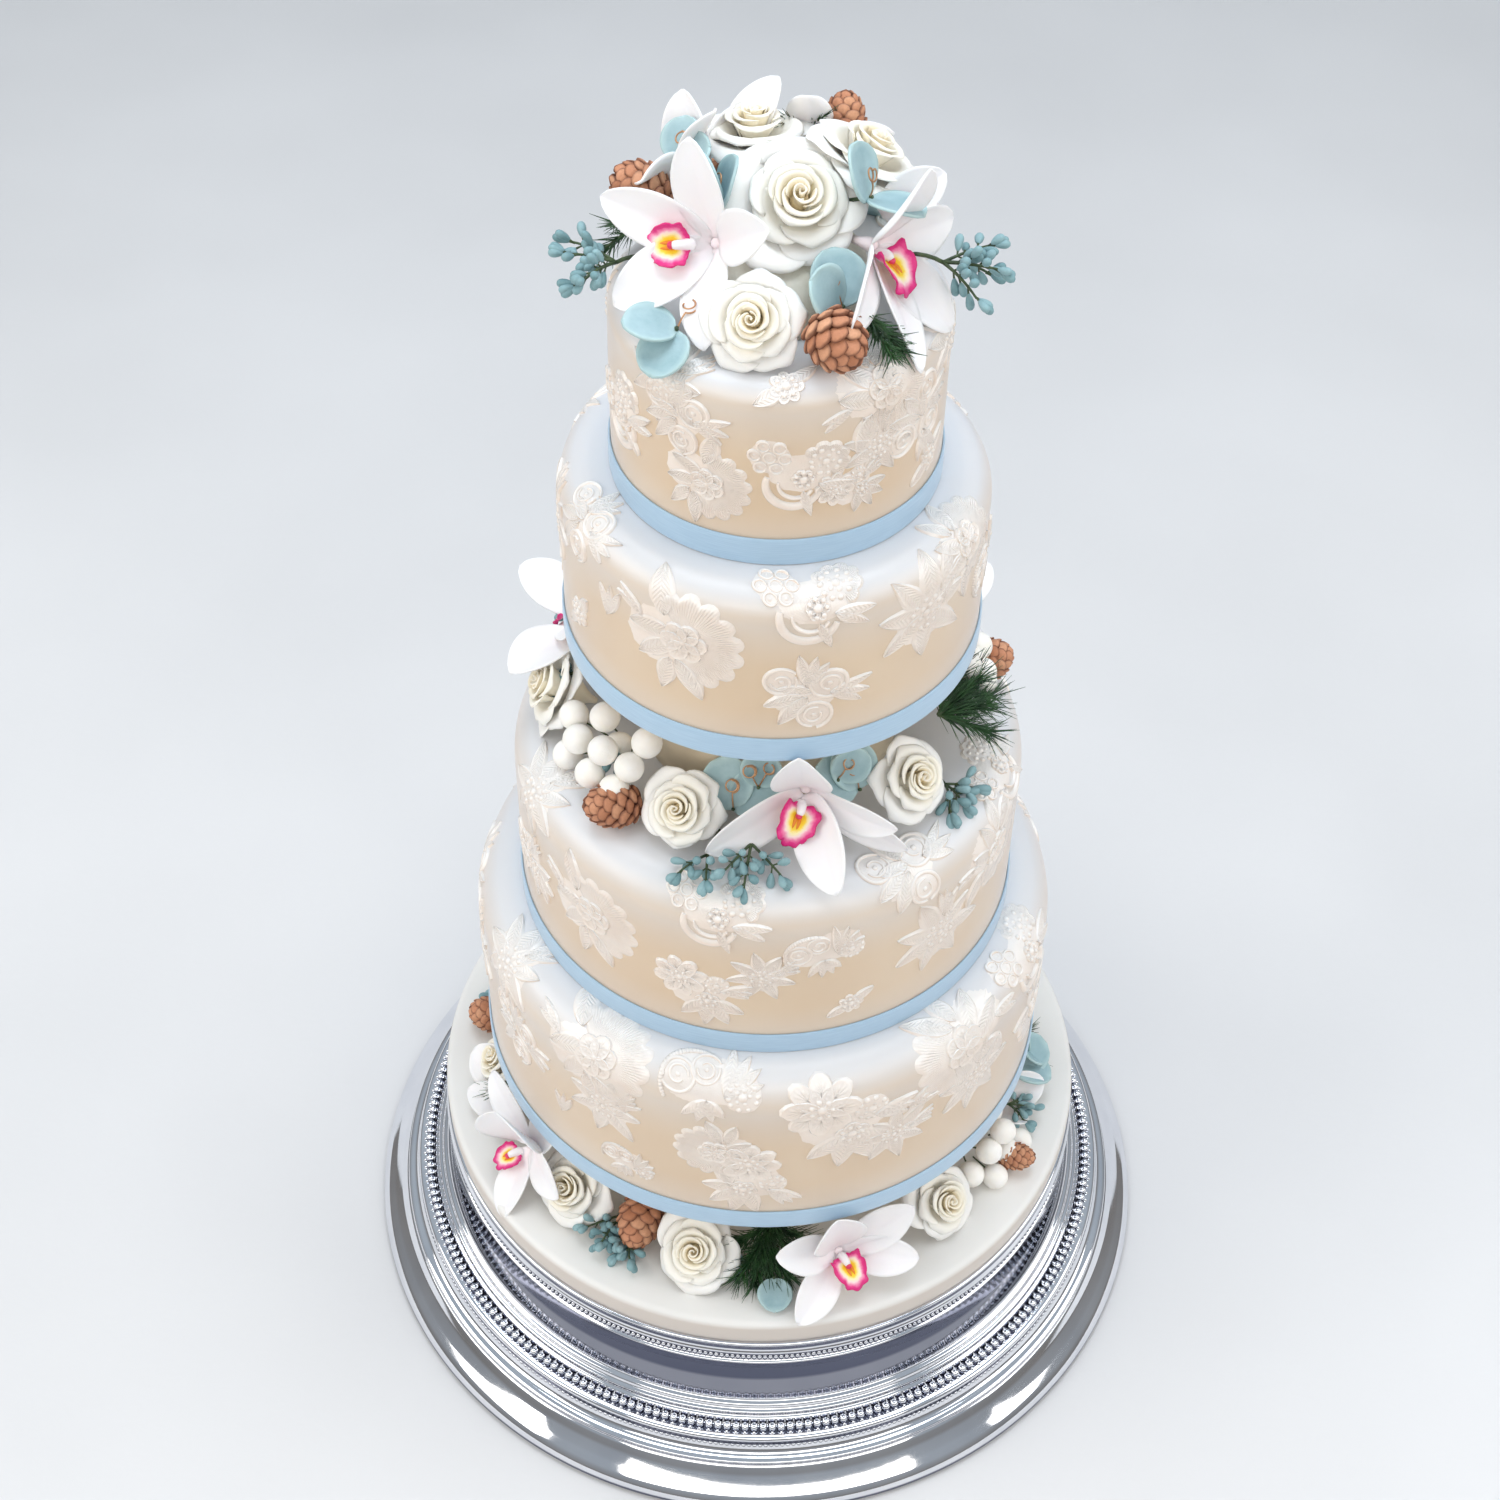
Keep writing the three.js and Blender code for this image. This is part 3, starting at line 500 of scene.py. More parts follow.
TIER_ICING, LACE, BOARD_ICING, SATIN, SILVER = tier_icing(), lace_icing(), board_icing(), ribbon_satin(), silver()
ROSE, TEPAL, LIP, CONE, LEAF, BUD = rose_petal(), orchid_tepal(), orchid_lip(), cone_scale(), leaf_paste(), seed_bud()
SEPARATOR = plain("separator_paste", 0.08, (30, 3), (214, 198, 170), (228, 215, 190), ((120, 2), 0.55, 0.72),
                  ((260, 4, 0.6), 0.3))
MOUND_PASTE = plain("mound_paste", 0.08, (60, 3), (222, 217, 200), (240, 237, 225), ((150, 2), 0.55, 0.75),
                    ((240, 4, 0.6), 0.6))
ANTHER = plain("anther_pink", 0.15, (500, 3), (205, 24, 70), (232, 78, 118), ((400, 2), 0.45, 0.6), ((900, 3), 0.1))
STEM = plain("dark_stem", 0, (200, 3), (40, 58, 40), (80, 98, 62), ((300, 2), 0.5, 0.7), ((900, 3), 0.1))
NEEDLE = plain("pine_needle", 0, (160, 3), (16, 46, 26), (52, 98, 48), ((300, 2), 0.4, 0.58), ((1200, 2), 0.05),
               Coat_Weight=0.15, Coat_Roughness=0.35)
BERRY = plain("ivory_berry", 0.2, (120, 3), (246, 242, 234), (252, 250, 246), ((300, 3), 0.55, 0.72),
              ((650, 4, 0.6), 0.18))
COPPER = plain("copper_wire", 0, (200, 3), (176, 128, 92), (208, 164, 126), ((300, 2), 0.3, 0.45), ((900, 3), 0.05),
               Metallic=0.6)
FLOOR = plain("pale_floor", 0, (3, 2), (214, 214, 215), (221, 221, 222), ((8, 2), 0.6, 0.75), ((300, 3), 0.1))


# ---- Repeats grown with Geometry Nodes ----

class Growth(Nodes):
    """A Geometry Nodes tree that sets one thing on many points and makes it real mesh."""

    def __init__(self, name, **kinds):
        super().__init__(bpy.data.node_groups.new(name, "GeometryNodeTree"))
        for label, kind in {"Geometry": "Geometry", **kinds, "Material": "Material"}.items():
            self.tree.interface.new_socket(label.replace("_", " "), in_out="INPUT", socket_type="NodeSocket" + kind)
        self.given = self.node("NodeGroupInput")

    def vector(self, **parts):
        return self.node("ShaderNodeCombineXYZ", parts)[0]

    def grow(self, points, instance, rotation, scale):
        on = self.node("GeometryNodeInstanceOnPoints", {"Points": points, "Instance": instance,
                                                        "Rotation": rotation, "Scale": scale})
        real = self.node("GeometryNodeRealizeInstances", {0: on[0]})
        dressed = self.node("GeometryNodeSetMaterial", {"Geometry": real[0], "Material": self.given["Material"]})
        self.tree.interface.new_socket("Geometry", in_out="OUTPUT", socket_type="NodeSocketGeometry")
        self.node("NodeGroupOutput", {0: dressed[0]})
        return self.tree


def bead_tree():
    """Egg-shaped beads set evenly round a circle."""
    g = Growth("bead_ring", Beads="Int", Ring_Radius="Float", Ring_Height="Float", Bead_Size="Vector")
    given = g.given
    circle = g.node("GeometryNodeMeshCircle", {"Vertices": given["Beads"], "Radius": given["Ring Radius"]})
    lifted = g.node("GeometryNodeTransform", {"Geometry": circle[0], "Translation": g.vector(Z=given["Ring Height"])})
    share = g.sum("DIVIDE", g.node("GeometryNodeInputIndex")[0], given["Beads"])
    ball = g.node("GeometryNodeMeshUVSphere", {"Segments": 8, "Rings": 5, "Radius": 1.0})
    return g.grow(lifted[0], ball[0], g.vector(Z=g.sum("MULTIPLY", share, CIRCLE)), given["Bead Size"])


def needle_tree():
    """Slim needles that lean off a stem at a seeded angle all round it."""
    g = Growth("needle_brush", Needles="Int", Needle_Length="Float", Needle_Radius="Float", Lean="Float", Seed="Int")
    given = g.given

    def draw(low, high, offset):
        seed = g.sum("ADD", given["Seed"], offset)
        return g.node("FunctionNodeRandomValue", {2: low, 3: high, "Seed": seed}, data_type="FLOAT")[1]

    stem = g.node("GeometryNodeMeshToCurve", {"Mesh": given["Geometry"]})
    points = g.node("GeometryNodeResampleCurve", {"Curve": stem[0], "Count": given["Needles"]})
    needle = g.node("GeometryNodeMeshCone", {
        "Vertices": 4, "Side Segments": 3, "Radius Top": 0.08 * MM, "Radius Bottom": given["Needle Radius"],
        "Depth": given["Needle Length"]})
    along = g.node("GeometryNodeInputTangent")[0]
    rotation = g.node("FunctionNodeAlignRotationToVector", {"Vector": along}, axis="Z")[0]
    for euler in (g.vector(Z=draw(0.0, CIRCLE, 1)), g.vector(X=g.sum("MULTIPLY", given["Lean"], draw(0.4, 1.3, 2)))):
        rotation = g.node("FunctionNodeRotateRotation", {0: rotation, 1: euler}, rotation_space="LOCAL")[0]
    return g.grow(points[0], needle[0], rotation, draw(0.65, 1.15, 3))


def grown(name, tree, base=None, **values):
    """The plain mesh that a tree makes from named values."""
    base = base or bpy.data.meshes.new("base")
    holder = in_scene("holder", base)
    modifier = holder.modifiers.new("grow", "NODES")
    modifier.node_group = tree
    for item in tree.interface.items_tree:
        if item.in_out == "INPUT" and item.name != "Geometry":
            modifier[item.identifier] = values[item.name.replace(" ", "_")]
    bpy.context.view_layer.update()
    mesh = bpy.data.meshes.new_from_object(holder.evaluated_get(bpy.context.evaluated_depsgraph_get()))
    bpy.data.objects.remove(holder)
    bpy.data.meshes.remove(base)
    mesh.name = name
    return mesh


# ---- Stand, board and separators ----

def turned(name, profile, sides, material, slot, node, wobble=None, sharp=None):
    """A piece turned from a profile."""
    shape = Shape()
    shape.add(lathe(profile, sides, wobble))
    shape.piece(name, [material], slot, [node], sharp)


def quarter(radius, level, across, up, start, end, count):
    """Points of a quarter round, from its side to its top, about a middle at a radius and level."""
    return [(radius + across * math.cos(a), level + up * math.sin(a))
            for a in np.radians(np.linspace(start, end, count))]


def rounded(corners, radius, steps):
    """A profile with its inner corners rounded off by the given radius."""
    path = [corners[0]]
    for before, here, after in zip(*(np.array(corners[k:len(corners) - 2 + k], float) for k in range(3))):
        reach = min(radius, np.linalg.norm(before - here) * 0.45, np.linalg.norm(after - here) * 0.45)
        a, b = here + unit(before - here) * reach, here + unit(after - here) * reach
        path += [(1 - t) ** 2 * a + 2 * t * (1 - t) * here + t * t * b for t in np.linspace(0, 1, steps)]
    return path + [corners[-1]]


# The stand's profile: distance in from the foot's edge or out from the wall under the board, and height.
STAND_STEPS = [
    (3, 0), (0, 2), (0, 5), (1.4, 8), (3.6, 10.5), (8, 14), (13, 18.5), (16, 22.5), (17.4, 23.4), (16.8, 25.4),
    (19.4, 26.6), (21, 26.8), (22.8, 28), (24.6, 31), (25.2, 34.4), (24, 36.4), (25.4, 38.8), (28, 39.2),
    (33.6, 39), (35.4, 43), (37.4, 43.6), (37.2, 46), (39.8, 46.6), (40.4, 49), (43.4, 50)]
STAND_WALL = [
    (3.4, 54), (1, 68), (-0.8, 83), (0.6, 84.4), (1, 86), (-1.2, 87), (-1.6, 93), (0.8, 94.2), (1.2, 96.4),
    (-0.4, 98.4), (-0.2, 101.6), (0.4, 103), (-0.6, STAND_HEIGHT)]
# Rings of beads: number, radius, height, half sizes of a bead.
BEADS = {
    "stand_small_beads": (390, STAND_TOP - 0.6, 90.0, (1.35, 1.45, 2.7)),
    "stand_large_beads": (250, STAND_FOOT - 31.4, 41.4, (2.5, 2.45, 2.3)),
    "stand_leaf_beads": (250, STAND_FOOT - 28.8, 38.4, (1.6, 1.2, 2.2)),
    "stand_rope_beads": (420, STAND_FOOT - 25.0, 31.6, (0.9, 1.3, 1.1)),
}


def make_stand():
    corners = [(STAND_FOOT - d, z) for d, z in STAND_STEPS] + [(STAND_TOP + d, z) for d, z in STAND_WALL]
    profile = rounded([(0, 0), *corners, (0, STAND_HEIGHT)], 1.0, 3)
    turned("stand_silver", profile, 240, SILVER, "silver", "stand", sharp=50)
    tree = bead_tree()
    for name, (beads, radius, height, size) in BEADS.items():
        mesh = grown(name, tree, Beads=beads, Ring_Radius=radius * MM, Ring_Height=height * MM,
                     Bead_Size=tuple(s * MM for s in size), Material=SILVER)
        mesh.materials.clear()
        finished(name, mesh, [SILVER], "silver")


def make_board():
    radius, edge, low = BOARD["radius"], BOARD["edge"], LEVEL["board"]
    high = low + BOARD["thickness"]
    profile = [(0, low), (radius - 2.5, low), (radius - 0.6, low + 1.2), (radius, low + 5), (radius, high - edge)]
    profile += quarter(radius - edge, high - edge, edge, edge, 12, 90, 7)
    profile += [(radius * share, high) for share in (0.8, 0.6, 0.3, 0)]
    swell = wave(3, 6, 2)
    turned("board_icing_skin", profile, 240, BOARD_ICING, "board_icing", "iced_board",
           lambda r, z, a: (r - 0.25 * (1 + swell(a)) * (r > radius * 0.9), z))


def make_separators():
    for name, (radius, height) in SEPARATORS.items():
        low = LEVEL[name]
        swell = wave(7 + int(radius), 8, 2)
        side = [(radius - 0.4, low + h) for h in np.linspace(0, height, 12)]
        turned("separator_" + name + "_paste", [(0, low), *side, (0, low + height)], 160, SEPARATOR, "separator",
               "separator_" + name, lambda r, z, a: (r - 0.5 + 0.5 * swell(a + z * 0.05), z))


def make_mound():
    low = LEVEL["mound"]
    profile = [(0, low), *quarter(0, low, MOUND_RADIUS, MOUND_HEIGHT, 0, 86, 14), (0, low + MOUND_HEIGHT)]
    swell = wave(31, 7, 3)
    turned("flower_mound_paste", profile, 96, MOUND_PASTE, "paste", "flower_mound",
           lambda r, z, a: (r * (1 + 0.03 * swell(a + 4 * np.clip((z - low) / MOUND_HEIGHT, 0, 1))), z))


# ---- Tiers ----

def tier_point(name, azimuth, along, proud):
    """Points on a tier: along runs up the side, over the shoulder and in across the top. Arrays allowed."""
    radius, height, shoulder = TIERS[name]
    side = height - shoulder
    over = np.clip((along - side) / shoulder, 0, math.pi / 2)
    inwards = np.maximum(along - side - shoulder * math.pi / 2, 0)
    reach = radius - shoulder + (shoulder + proud) * np.cos(over) - inwards
    level = LEVEL[name] + np.minimum(along, side) + (shoulder + proud) * np.sin(over)
    a = np.radians(azimuth)
    return np.stack([reach * np.sin(a), -reach * np.cos(a), level + 0 * reach], -1)


def make_icing(name, seed):
    radius, height, shoulder = TIERS[name]
    low, flat, side = LEVEL[name], radius - shoulder, height - shoulder
    profile = [(0, low), (radius - 0.5, low), (radius - 0.1, low + 0.6)]
    profile += [(radius, low + h) for h in np.linspace(2, side, 12)]
    profile += quarter(flat, low + side, shoulder, shoulder, 7, 90, 13)
    profile += [(flat * share, low + height) for share in (0.85, 0.6, 0.3, 0)]
    slow, quick = wave(seed, 5, 2), wave(seed + 50, 9, 5)

    def wobble(r, z, a):
        lift = np.clip((z - low) / height, 0, 1)
        sway = 0.35 * slow(a + 0.8 * lift) * lift + 0.12 * quick(a - lift) * lift
        return r * (1 - 0.0012 * lift) + np.minimum(sway, 0.25) * (r > flat * 0.9), z

    made = lathe(profile, 256, wobble)
    share = (made[0][:, 2] - low) / side
    # Painted light on the side: paler towards the shoulder and towards the foot, with a darker tan band between.
    painted_light = 0.42 * np.clip(share * 2.4 - 1.4, 0, 1) ** 1.6 + 0.44 * np.clip(1 - share * 2.3, 0, 1)
    shape = Shape()
    shape.add(made, tint=tints(painted_light.shape, painted_light))
    shape.piece("tier_" + name + "_icing", [TIER_ICING], "tier_icing", ["tier_" + name])


def make_ribbon(name):
    radius, low = TIERS[name][0], LEVEL[name]
    inner, outer, high = radius + 0.25, radius + GAP + RIBBON_THICKNESS - 0.1, low + RIBBON_HEIGHT
    profile = [(inner, low + 0.2), (outer - 0.35, low), (outer - 0.1, low + 0.5)]
    profile += [(outer + 0.12 * math.sin(math.pi * t), low + 0.8 + t * (RIBBON_HEIGHT - 1.6))
                for t in np.linspace(0, 1, 9)]
    profile += [(outer - 0.1, high - 0.5), (outer - 0.35, high), (inner, high - 0.2)]
    angle = round_turn(240)
    sway, quick = wave(int(radius), 7, 3)(angle), wave(int(radius) + 5, 6, 17)(angle)
    r, z = (np.array(part)[:, None] for part in zip(*profile))
    reach = r + (0.1 * sway + 0.05 * quick) * (r > inner + 0.2)
    rings = np.stack([reach * np.cos(angle), reach * np.sin(angle), z + 0.12 * sway], -1)
    at = numbers(*reach.shape)
    after = np.roll(at, -1, axis=1)
    faces = np.stack([at, after, np.roll(after, -1, axis=0), np.roll(at, -1, axis=0)], -1).reshape(-1, 4)
    shape = Shape()
    shape.add((rings.reshape(-1, 3), faces.tolist()))
    shape.piece("ribbon_" + name + "_satin", [SATIN], "ribbon", ["ribbon_" + name], sharp=60)


# ---- Lace ----
# A stamp is nets of x, y, height, lines and depth on the flat, in millimetres. Lines counts the fine
# embossed lines crossed so far and depth says how strongly they show.

def stamp(x, y, height, lines=0.0, depth=0.0, turn=0.0, at=(0.0, 0.0)):
    c, s = math.cos(math.radians(turn)), math.sin(math.radians(turn))
    return np.broadcast_arrays(at[0] + x * c - y * s, at[1] + x * s + y * c, height, lines, depth)


def sunk(u, v=0.0):
    """Takes the outermost row of a net down into the icing."""
    return 0.8 * ((u > 0.999) | (np.abs(v) > 0.999))


def leaf(length, width, turn=0.0, at=(0.0, 0.0), bend=0.0, rise=1.0, rows=12, cols=9):
    """A pointed leaf with a raised rim and midrib and fine slanting veins."""
    u, v = grid(rows, cols)
    half = width / 2 * np.maximum(np.sin(math.pi * u ** 0.85), 0) ** 0.75 + 0.2
    height = (0.75 + 0.45 * ridge(np.abs(v), 0.8, 0.15) + 0.4 * ridge(v, 0, 0.14) * (1.1 - u)) * rise - sunk(0 * u, v)
    lines = length * (u + 0.5 * np.abs(v) * width / length) / 2.1
    return stamp(length * (u - 0.04), half * v + bend * length * u * u, height, lines,
                 np.clip((0.72 - np.abs(v)) * 6, 0, 1), turn, at)


def petal(length, width, turn=0.0, at=(0.0, 0.0), rise=1.0):
    """A round petal with a raised edge, a second ridge inside it and fine veins."""
    u, v = grid(9, 12, 0.02)
    a, reach = v * math.pi * 0.93, 0.52 * length * u
    height = (0.6 + 0.55 * ridge(u, 0.84, 0.1) + 0.3 * ridge(u, 0.5, 0.1)) * rise - sunk(u)
    return stamp(0.46 * length + reach * np.cos(a) * 1.02, reach * np.sin(a) * width / length, height, 5 * v,
                 np.clip((0.72 - u) * 6, 0, 0.8), turn, at)


def fan(reach, spread, lobes, turn=0.0, at=(0.0, 0.0), rise=1.0, rows=12):
    """A broad scalloped fan with a beaded rim and fine veins that spread from its root."""
    u, v = grid(rows, 5 * lobes + 1, 0.03)
    scallop = np.abs(np.sin(math.pi * lobes * (v + 1) / 2)) ** 0.7
    edge = reach * u * (0.88 + 0.12 * scallop - 0.1 * v ** 4)
    a = v * math.radians(spread) / 2
    swell = 0.22 * scallop * np.clip(u * 1.6 - 0.5, 0, 1)
    height = (0.55 + 0.5 * ridge(u, 0.88, 0.06) + swell + 0.25 * ridge(u, 0.55, 0.06)) * rise - sunk(u, v)
    depth = np.clip(u * 1.5 - 0.2, 0, 1) * np.clip((1 - u) * 6, 0, 1)
    return stamp(edge * np.cos(a), edge * np.sin(a), height, 1.1 * lobes * 3 * v, depth, turn, at)


def pad(wide, tall, at=(0.0, 0.0), rise=0.55, beads=9, swing=0.05):
    """A low rounded plate with an uneven edge, that smaller things sit on."""
    u, v = grid(4, 3 * beads + 1, 0.02)
    a = v * math.pi * 0.999
    reach = u * (1 + swing * np.abs(np.sin(beads * a / 2)))
    height = rise * (1.1 - 0.3 * u ** 4) - sunk(u)
    return stamp(wide * reach * np.cos(a), tall * reach * np.sin(a), height, 14 * u, 0.35 * (1 - u), at=at)


def cord(points, width, rise=1.0, cols=6, depth=0.0):
    """A rounded cord along a path on the flat, tapered to its ends."""
    ahead = unit(np.gradient(points, axis=0))
    t = np.linspace(0, 1, len(points))
    half = width / 2 * (0.3 + 0.7 * np.clip(np.sin(math.pi * (t * 0.92 + 0.04)), 0, 1) ** 0.5)
    v = np.linspace(-1, 1, cols)
    run = np.concatenate([[0], np.cumsum(np.linalg.norm(np.diff(points, axis=0), axis=1))])[:, None]
    height = rise * (1.9 * np.sqrt(np.clip(1 - v ** 2, 0, 1)) - 0.5)
    return stamp(points[:, :1] - ahead[:, 1:] * half[:, None] * v, points[:, 1:] + ahead[:, :1] * half[:, None] * v,
                 height, run / 1.5, depth)


def bead(radius, at, rise=1.0):
    u, v = grid(5, 5, -1)
    x, y = u * np.sqrt(1 - v ** 2 / 2), v * np.sqrt(1 - u ** 2 / 2)
    height = rise * (0.75 + 0.35 * radius) * np.sqrt(np.clip(1.02 - x ** 2 - y ** 2, 0, 1)) - 0.3
    return stamp(x * radius, y * radius, height, at=at)


def arc(radius, start, end, at, steps=18, shrink=0.0):
    """Points round a circle, drawn in by the share shrink over its length."""
    a = np.radians(np.linspace(start, end, steps))
    r = radius * (1 - shrink * np.linspace(0, 1, steps))
    return np.stack([at[0] + r * np.cos(a), at[1] + r * np.sin(a)], -1)


def ring_of(count, reach, at, wobble, rng):
    for k in range(count):
        a = math.radians(360 * k / count + rng.uniform(-wobble, wobble))
        yield at[0] + reach * math.cos(a), at[1] + reach * math.sin(a)


def ringlets(at, rng):
    """Seven little rings on a plate, each round a bead."""
    stamps = [pad(10.5, 10.5, at, 0.6, beads=6)]
    for middle in [at, *ring_of(6, 7.0, at, 4, rng)]:
        stamps += [cord(arc(2.87, 0, 350, middle, 14), 2.0, 0.95, 5), bead(1.2, middle, 0.9)]
    return stamps


def knobs(at, reach, rng):
    """A knobbly cluster: beads crowded in rounds on a plate."""
    stamps = [pad(reach * 1.05, reach * 1.05, at, 0.7), bead(2.5, at, 1.35)]
    for count, share in ((5, 0.42), (10, 0.84)):
        stamps += [bead(reach * 0.2 * rng.uniform(0.85, 1.15), middle, 1.25)
                   for middle in ring_of(count, reach * share, at, 8, rng)]
    return stamps


def scroll(at, radius, start):
    """A coiled bud: a cord that winds in to a bead on a round plate."""
    outer = arc(radius, start, start + 345, at, 24, 0.16)
    inner = arc(radius * 0.6, start + 150, start + 470, at, 20, 0.35)
    return [pad(radius, radius, at, 0.45), cord(outer, radius * 0.32, 0.95), cord(inner, radius * 0.26),
            bead(radius * 0.2, at, 1.2)]


def bloom(at, reach, rng, petals=8, turn=0.0):
    """An open flower: round double-edged petals about a ring of beads."""
    wide = CIRCLE * 0.62 * reach / petals * 1.25
    stamps = [petal(reach, wide, turn + 360 * k / petals, at, 0.95 + 0.14 * (k % 2)) for k in range(petals)]
    return stamps + [bead(2.4, at, 1.6)] + [bead(1.4, middle, 1.7) for middle in ring_of(7, 4.0, at, 3, rng)]


def strokes(at, turns, length, width):
    return [leaf(length * (1 - 0.08 * k), width, turn, at, 0.06, 1.05, 9, 7) for k, turn in enumerate(turns)]


def spray_motif(rng):
    """Ringlets and a knobbly blossom over a crescent, with slim petals to one side."""
    stamps = ringlets((-14, 11), rng) + [fan(13, 220, 6, 50, (12, 9), 0.8, 9)] + knobs((12, 10), 8.0, rng)
    stamps += [cord(arc(13, 165, 345, (-1, -4), 26), 5.0, 0.85), cord(arc(8.5, 180, 335, (0, -3)), 2.2, 0.9)]
    stamps += bloom((3, 0), 6.0, rng, 6)
    return stamps + strokes((11, -3), (-4, -30), 19, 5.6) + strokes((4, -8), (-72,), 15, 5)


def scrolls_motif(rng):
    """Three coiled buds among pointed leaves."""
    stamps = scroll((-14, 9), 8.5, 40) + scroll((9, 6), 9.5, 160) + scroll((2, -14), 9.0, 280)
    stamps += strokes((-2, 6), (98, 72, 48), 21, 6.5) + strokes((10, 0), (14, -12, -34), 22, 6)
    return stamps + [leaf(22, 10, -128, (-2, -2)), leaf(20, 9, -160, (-4, 0)), leaf(17, 8, 170, (0, 2))]


def fan_motif(rng):
    """A great half flower with a beaded rim, a veined leaf above it, leaves below and strokes beside."""
    stamps = [fan(28, 215, 9, 8, (4, -2), 1.0, 15), leaf(24, 13, 98, (-4, 12)), leaf(22, 12, 182, (-2, 2)),
              leaf(22, 11, 214, (-2, -4)), leaf(24, 11, -62, (0, -14)), leaf(20, 10, -104, (-4, -14))]
    stamps += strokes((-16, 6), (128, 146), 18, 4.6)
    stamps += [petal(12, 11, turn, (4, -2), 1.5) for turn in range(-60, 241, 60)]
    return stamps + knobs((4, -2), 4.6, rng)


def leafy_motif(rng):
    """A mass of veined leaves about a knobbly heart."""
    blades = ((92, 30, 13), (54, 28, 11), (16, 25, 10), (134, 27, 11), (-32, 28, 11), (-84, 25, 12),
              (-138, 25, 10), (176, 26, 11))
    stamps = [leaf(length * rng.uniform(0.92, 1.08), width, turn, (0, 0), 0.06, 0.9)
              for turn, length, width in blades]
    return stamps + strokes((6, 10), (80, 66, 38), 20, 4.6) + knobs((0, 0), 9.0, rng)


def bloom_motif(rng):
    """A round flower, a knobbly cluster beside it and a leafy flower below."""
    stamps = [leaf(21, 10, turn, (8, -15)) for turn in (-30, -66, -104, -146)] + bloom((8, -15), 7.5, rng, 5, 20)
    stamps += bloom((-4, 3), 16, rng, 8, rng.uniform(0, 45)) + knobs((15, -2), 6.5, rng)
    return stamps + strokes((17, -6), (8, -10, -26), 18, 5)


def rings_motif(rng):
    """Round rings on the left and a plume of strokes on the right."""
    stamps = [pad(14, 12, (-11, 4))] + scroll((-17, 5), 7.5, 200) + scroll((-5, 7), 6.5, 20)
    stamps.append(cord(arc(15, 60, 200, (-10, 0), 24), 3.0, 0.8, 6, 1.0))
    stamps += strokes((2, -4), (74, 52, 30, 8), 22, 6) + strokes((-6, -6), (-150, -120, -90, -60), 15, 5.5)
    return stamps + knobs((9, -5), 7.0, rng)


def small_motif(rng):
    """A little rosette with two leaves."""
    return [leaf(14, 7, 35, (2, 2)), leaf(14, 7, 208, (-2, -2))] + bloom((0, 0), 8.0, rng, 7)


def strokes_motif(rng):
    return strokes((0, 0), (60, 80, 105), 20, 5)


# What draws each motif, and the low ground under it: half width, half height, middle.
MOTIFS = {
    "spray": (spray_motif, (17, 12, (1, 3))), "scrolls": (scrolls_motif, (16, 14, (-3, -2))),
    "fan": (fan_motif, (19, 17, (-7, -3))), "leafy": (leafy_motif, (17, 17, (0, 0))),
    "bloom": (bloom_motif, (18, 16, (4, -7))), "rings": (rings_motif, (17, 11, (0, 2))),
    "small": (small_motif, None), "strokes": (strokes_motif, None)}

# Where the lace lies: kind, azimuth, distance up the profile, turn, size. A size under 0 is mirrored.
LACE_PLACES = {
    "top": [
        ("leafy", -40, 84, -15, 0.85), ("scrolls", -33, 70, 0, 0.8), ("fan", -24, 42, -25, 0.72),
        ("small", 3, 94, 0, 1), ("spray", 7, 48, -6, 0.92), ("bloom", 22, 40, 40, 0.6), ("fan", 35, 84, 172, -0.86),
        ("leafy", 35, 56, 20, 0.7), ("scrolls", 54, 58, -70, 0.9), ("small", 62, 30, 0, 1),
        ("spray", -64, 48, 30, 0.9), ("leafy", 76, 84, 30, 0.85)],
    "third": [
        ("scrolls", -62, 94, 0, 0.85), ("fan", -25, 68, 4, 1.02), ("strokes", -47, 60, 0, 1),
        ("spray", 10, 92, 0, 1), ("scrolls", 10.5, 42, 0, 0.95), ("leafy", 43, 70, -12, 1.1),
        ("fan", 60, 88, 190, -0.8), ("small", -62, 40, 20, 1), ("rings", 78, 62, 40, 0.9),
        ("leafy", -82, 70, 30, 0.9)],
    "second": [
        ("fan", -42, 68, 10, 1), ("spray", -11, 100, 0, 1), ("bloom", -16, 50, 10, 0.95), ("leafy", 0, 60, -35, 0.7),
        ("rings", 15, 78, 20, 0.95), ("scrolls", 35, 112, 10, 1), ("leafy", 42, 58, 20, 1.05),
        ("small", 20, 32, 0, 0.9), ("leafy", -66, 104, 10, 1), ("fan", 60, 84, 150, -0.9),
        ("spray", 74, 112, 20, 0.9), ("bloom", -70, 54, 60, 0.95)],
    "bottom": [
        ("fan", -35, 112, 20, 1.12), ("leafy", -31, 76, -20, 0.95), ("rings", -25, 34, 0, 0.75),
        ("rings", -7.5, 118, 10, 1.25), ("fan", -7, 66, 178, 0.8), ("bloom", -1, 54, -40, 1.1),
        ("bloom", 14, 100, 0, 1.4), ("leafy", 27, 66, -50, 0.85), ("strokes", 30, 84, -60, 1),
        ("fan", 45, 108, -150, 1.15), ("leafy", 47, 74, 30, 1.05), ("strokes", -42, 46, 0, 0.9),
        ("leafy", -62, 116, 0, 1.05), ("scrolls", -56, 76, 0, 1), ("spray", 68, 114, 10, 1.1),
        ("fan", 72, 66, 90, -0.9), ("leafy", -80, 80, 20, 1)],
}


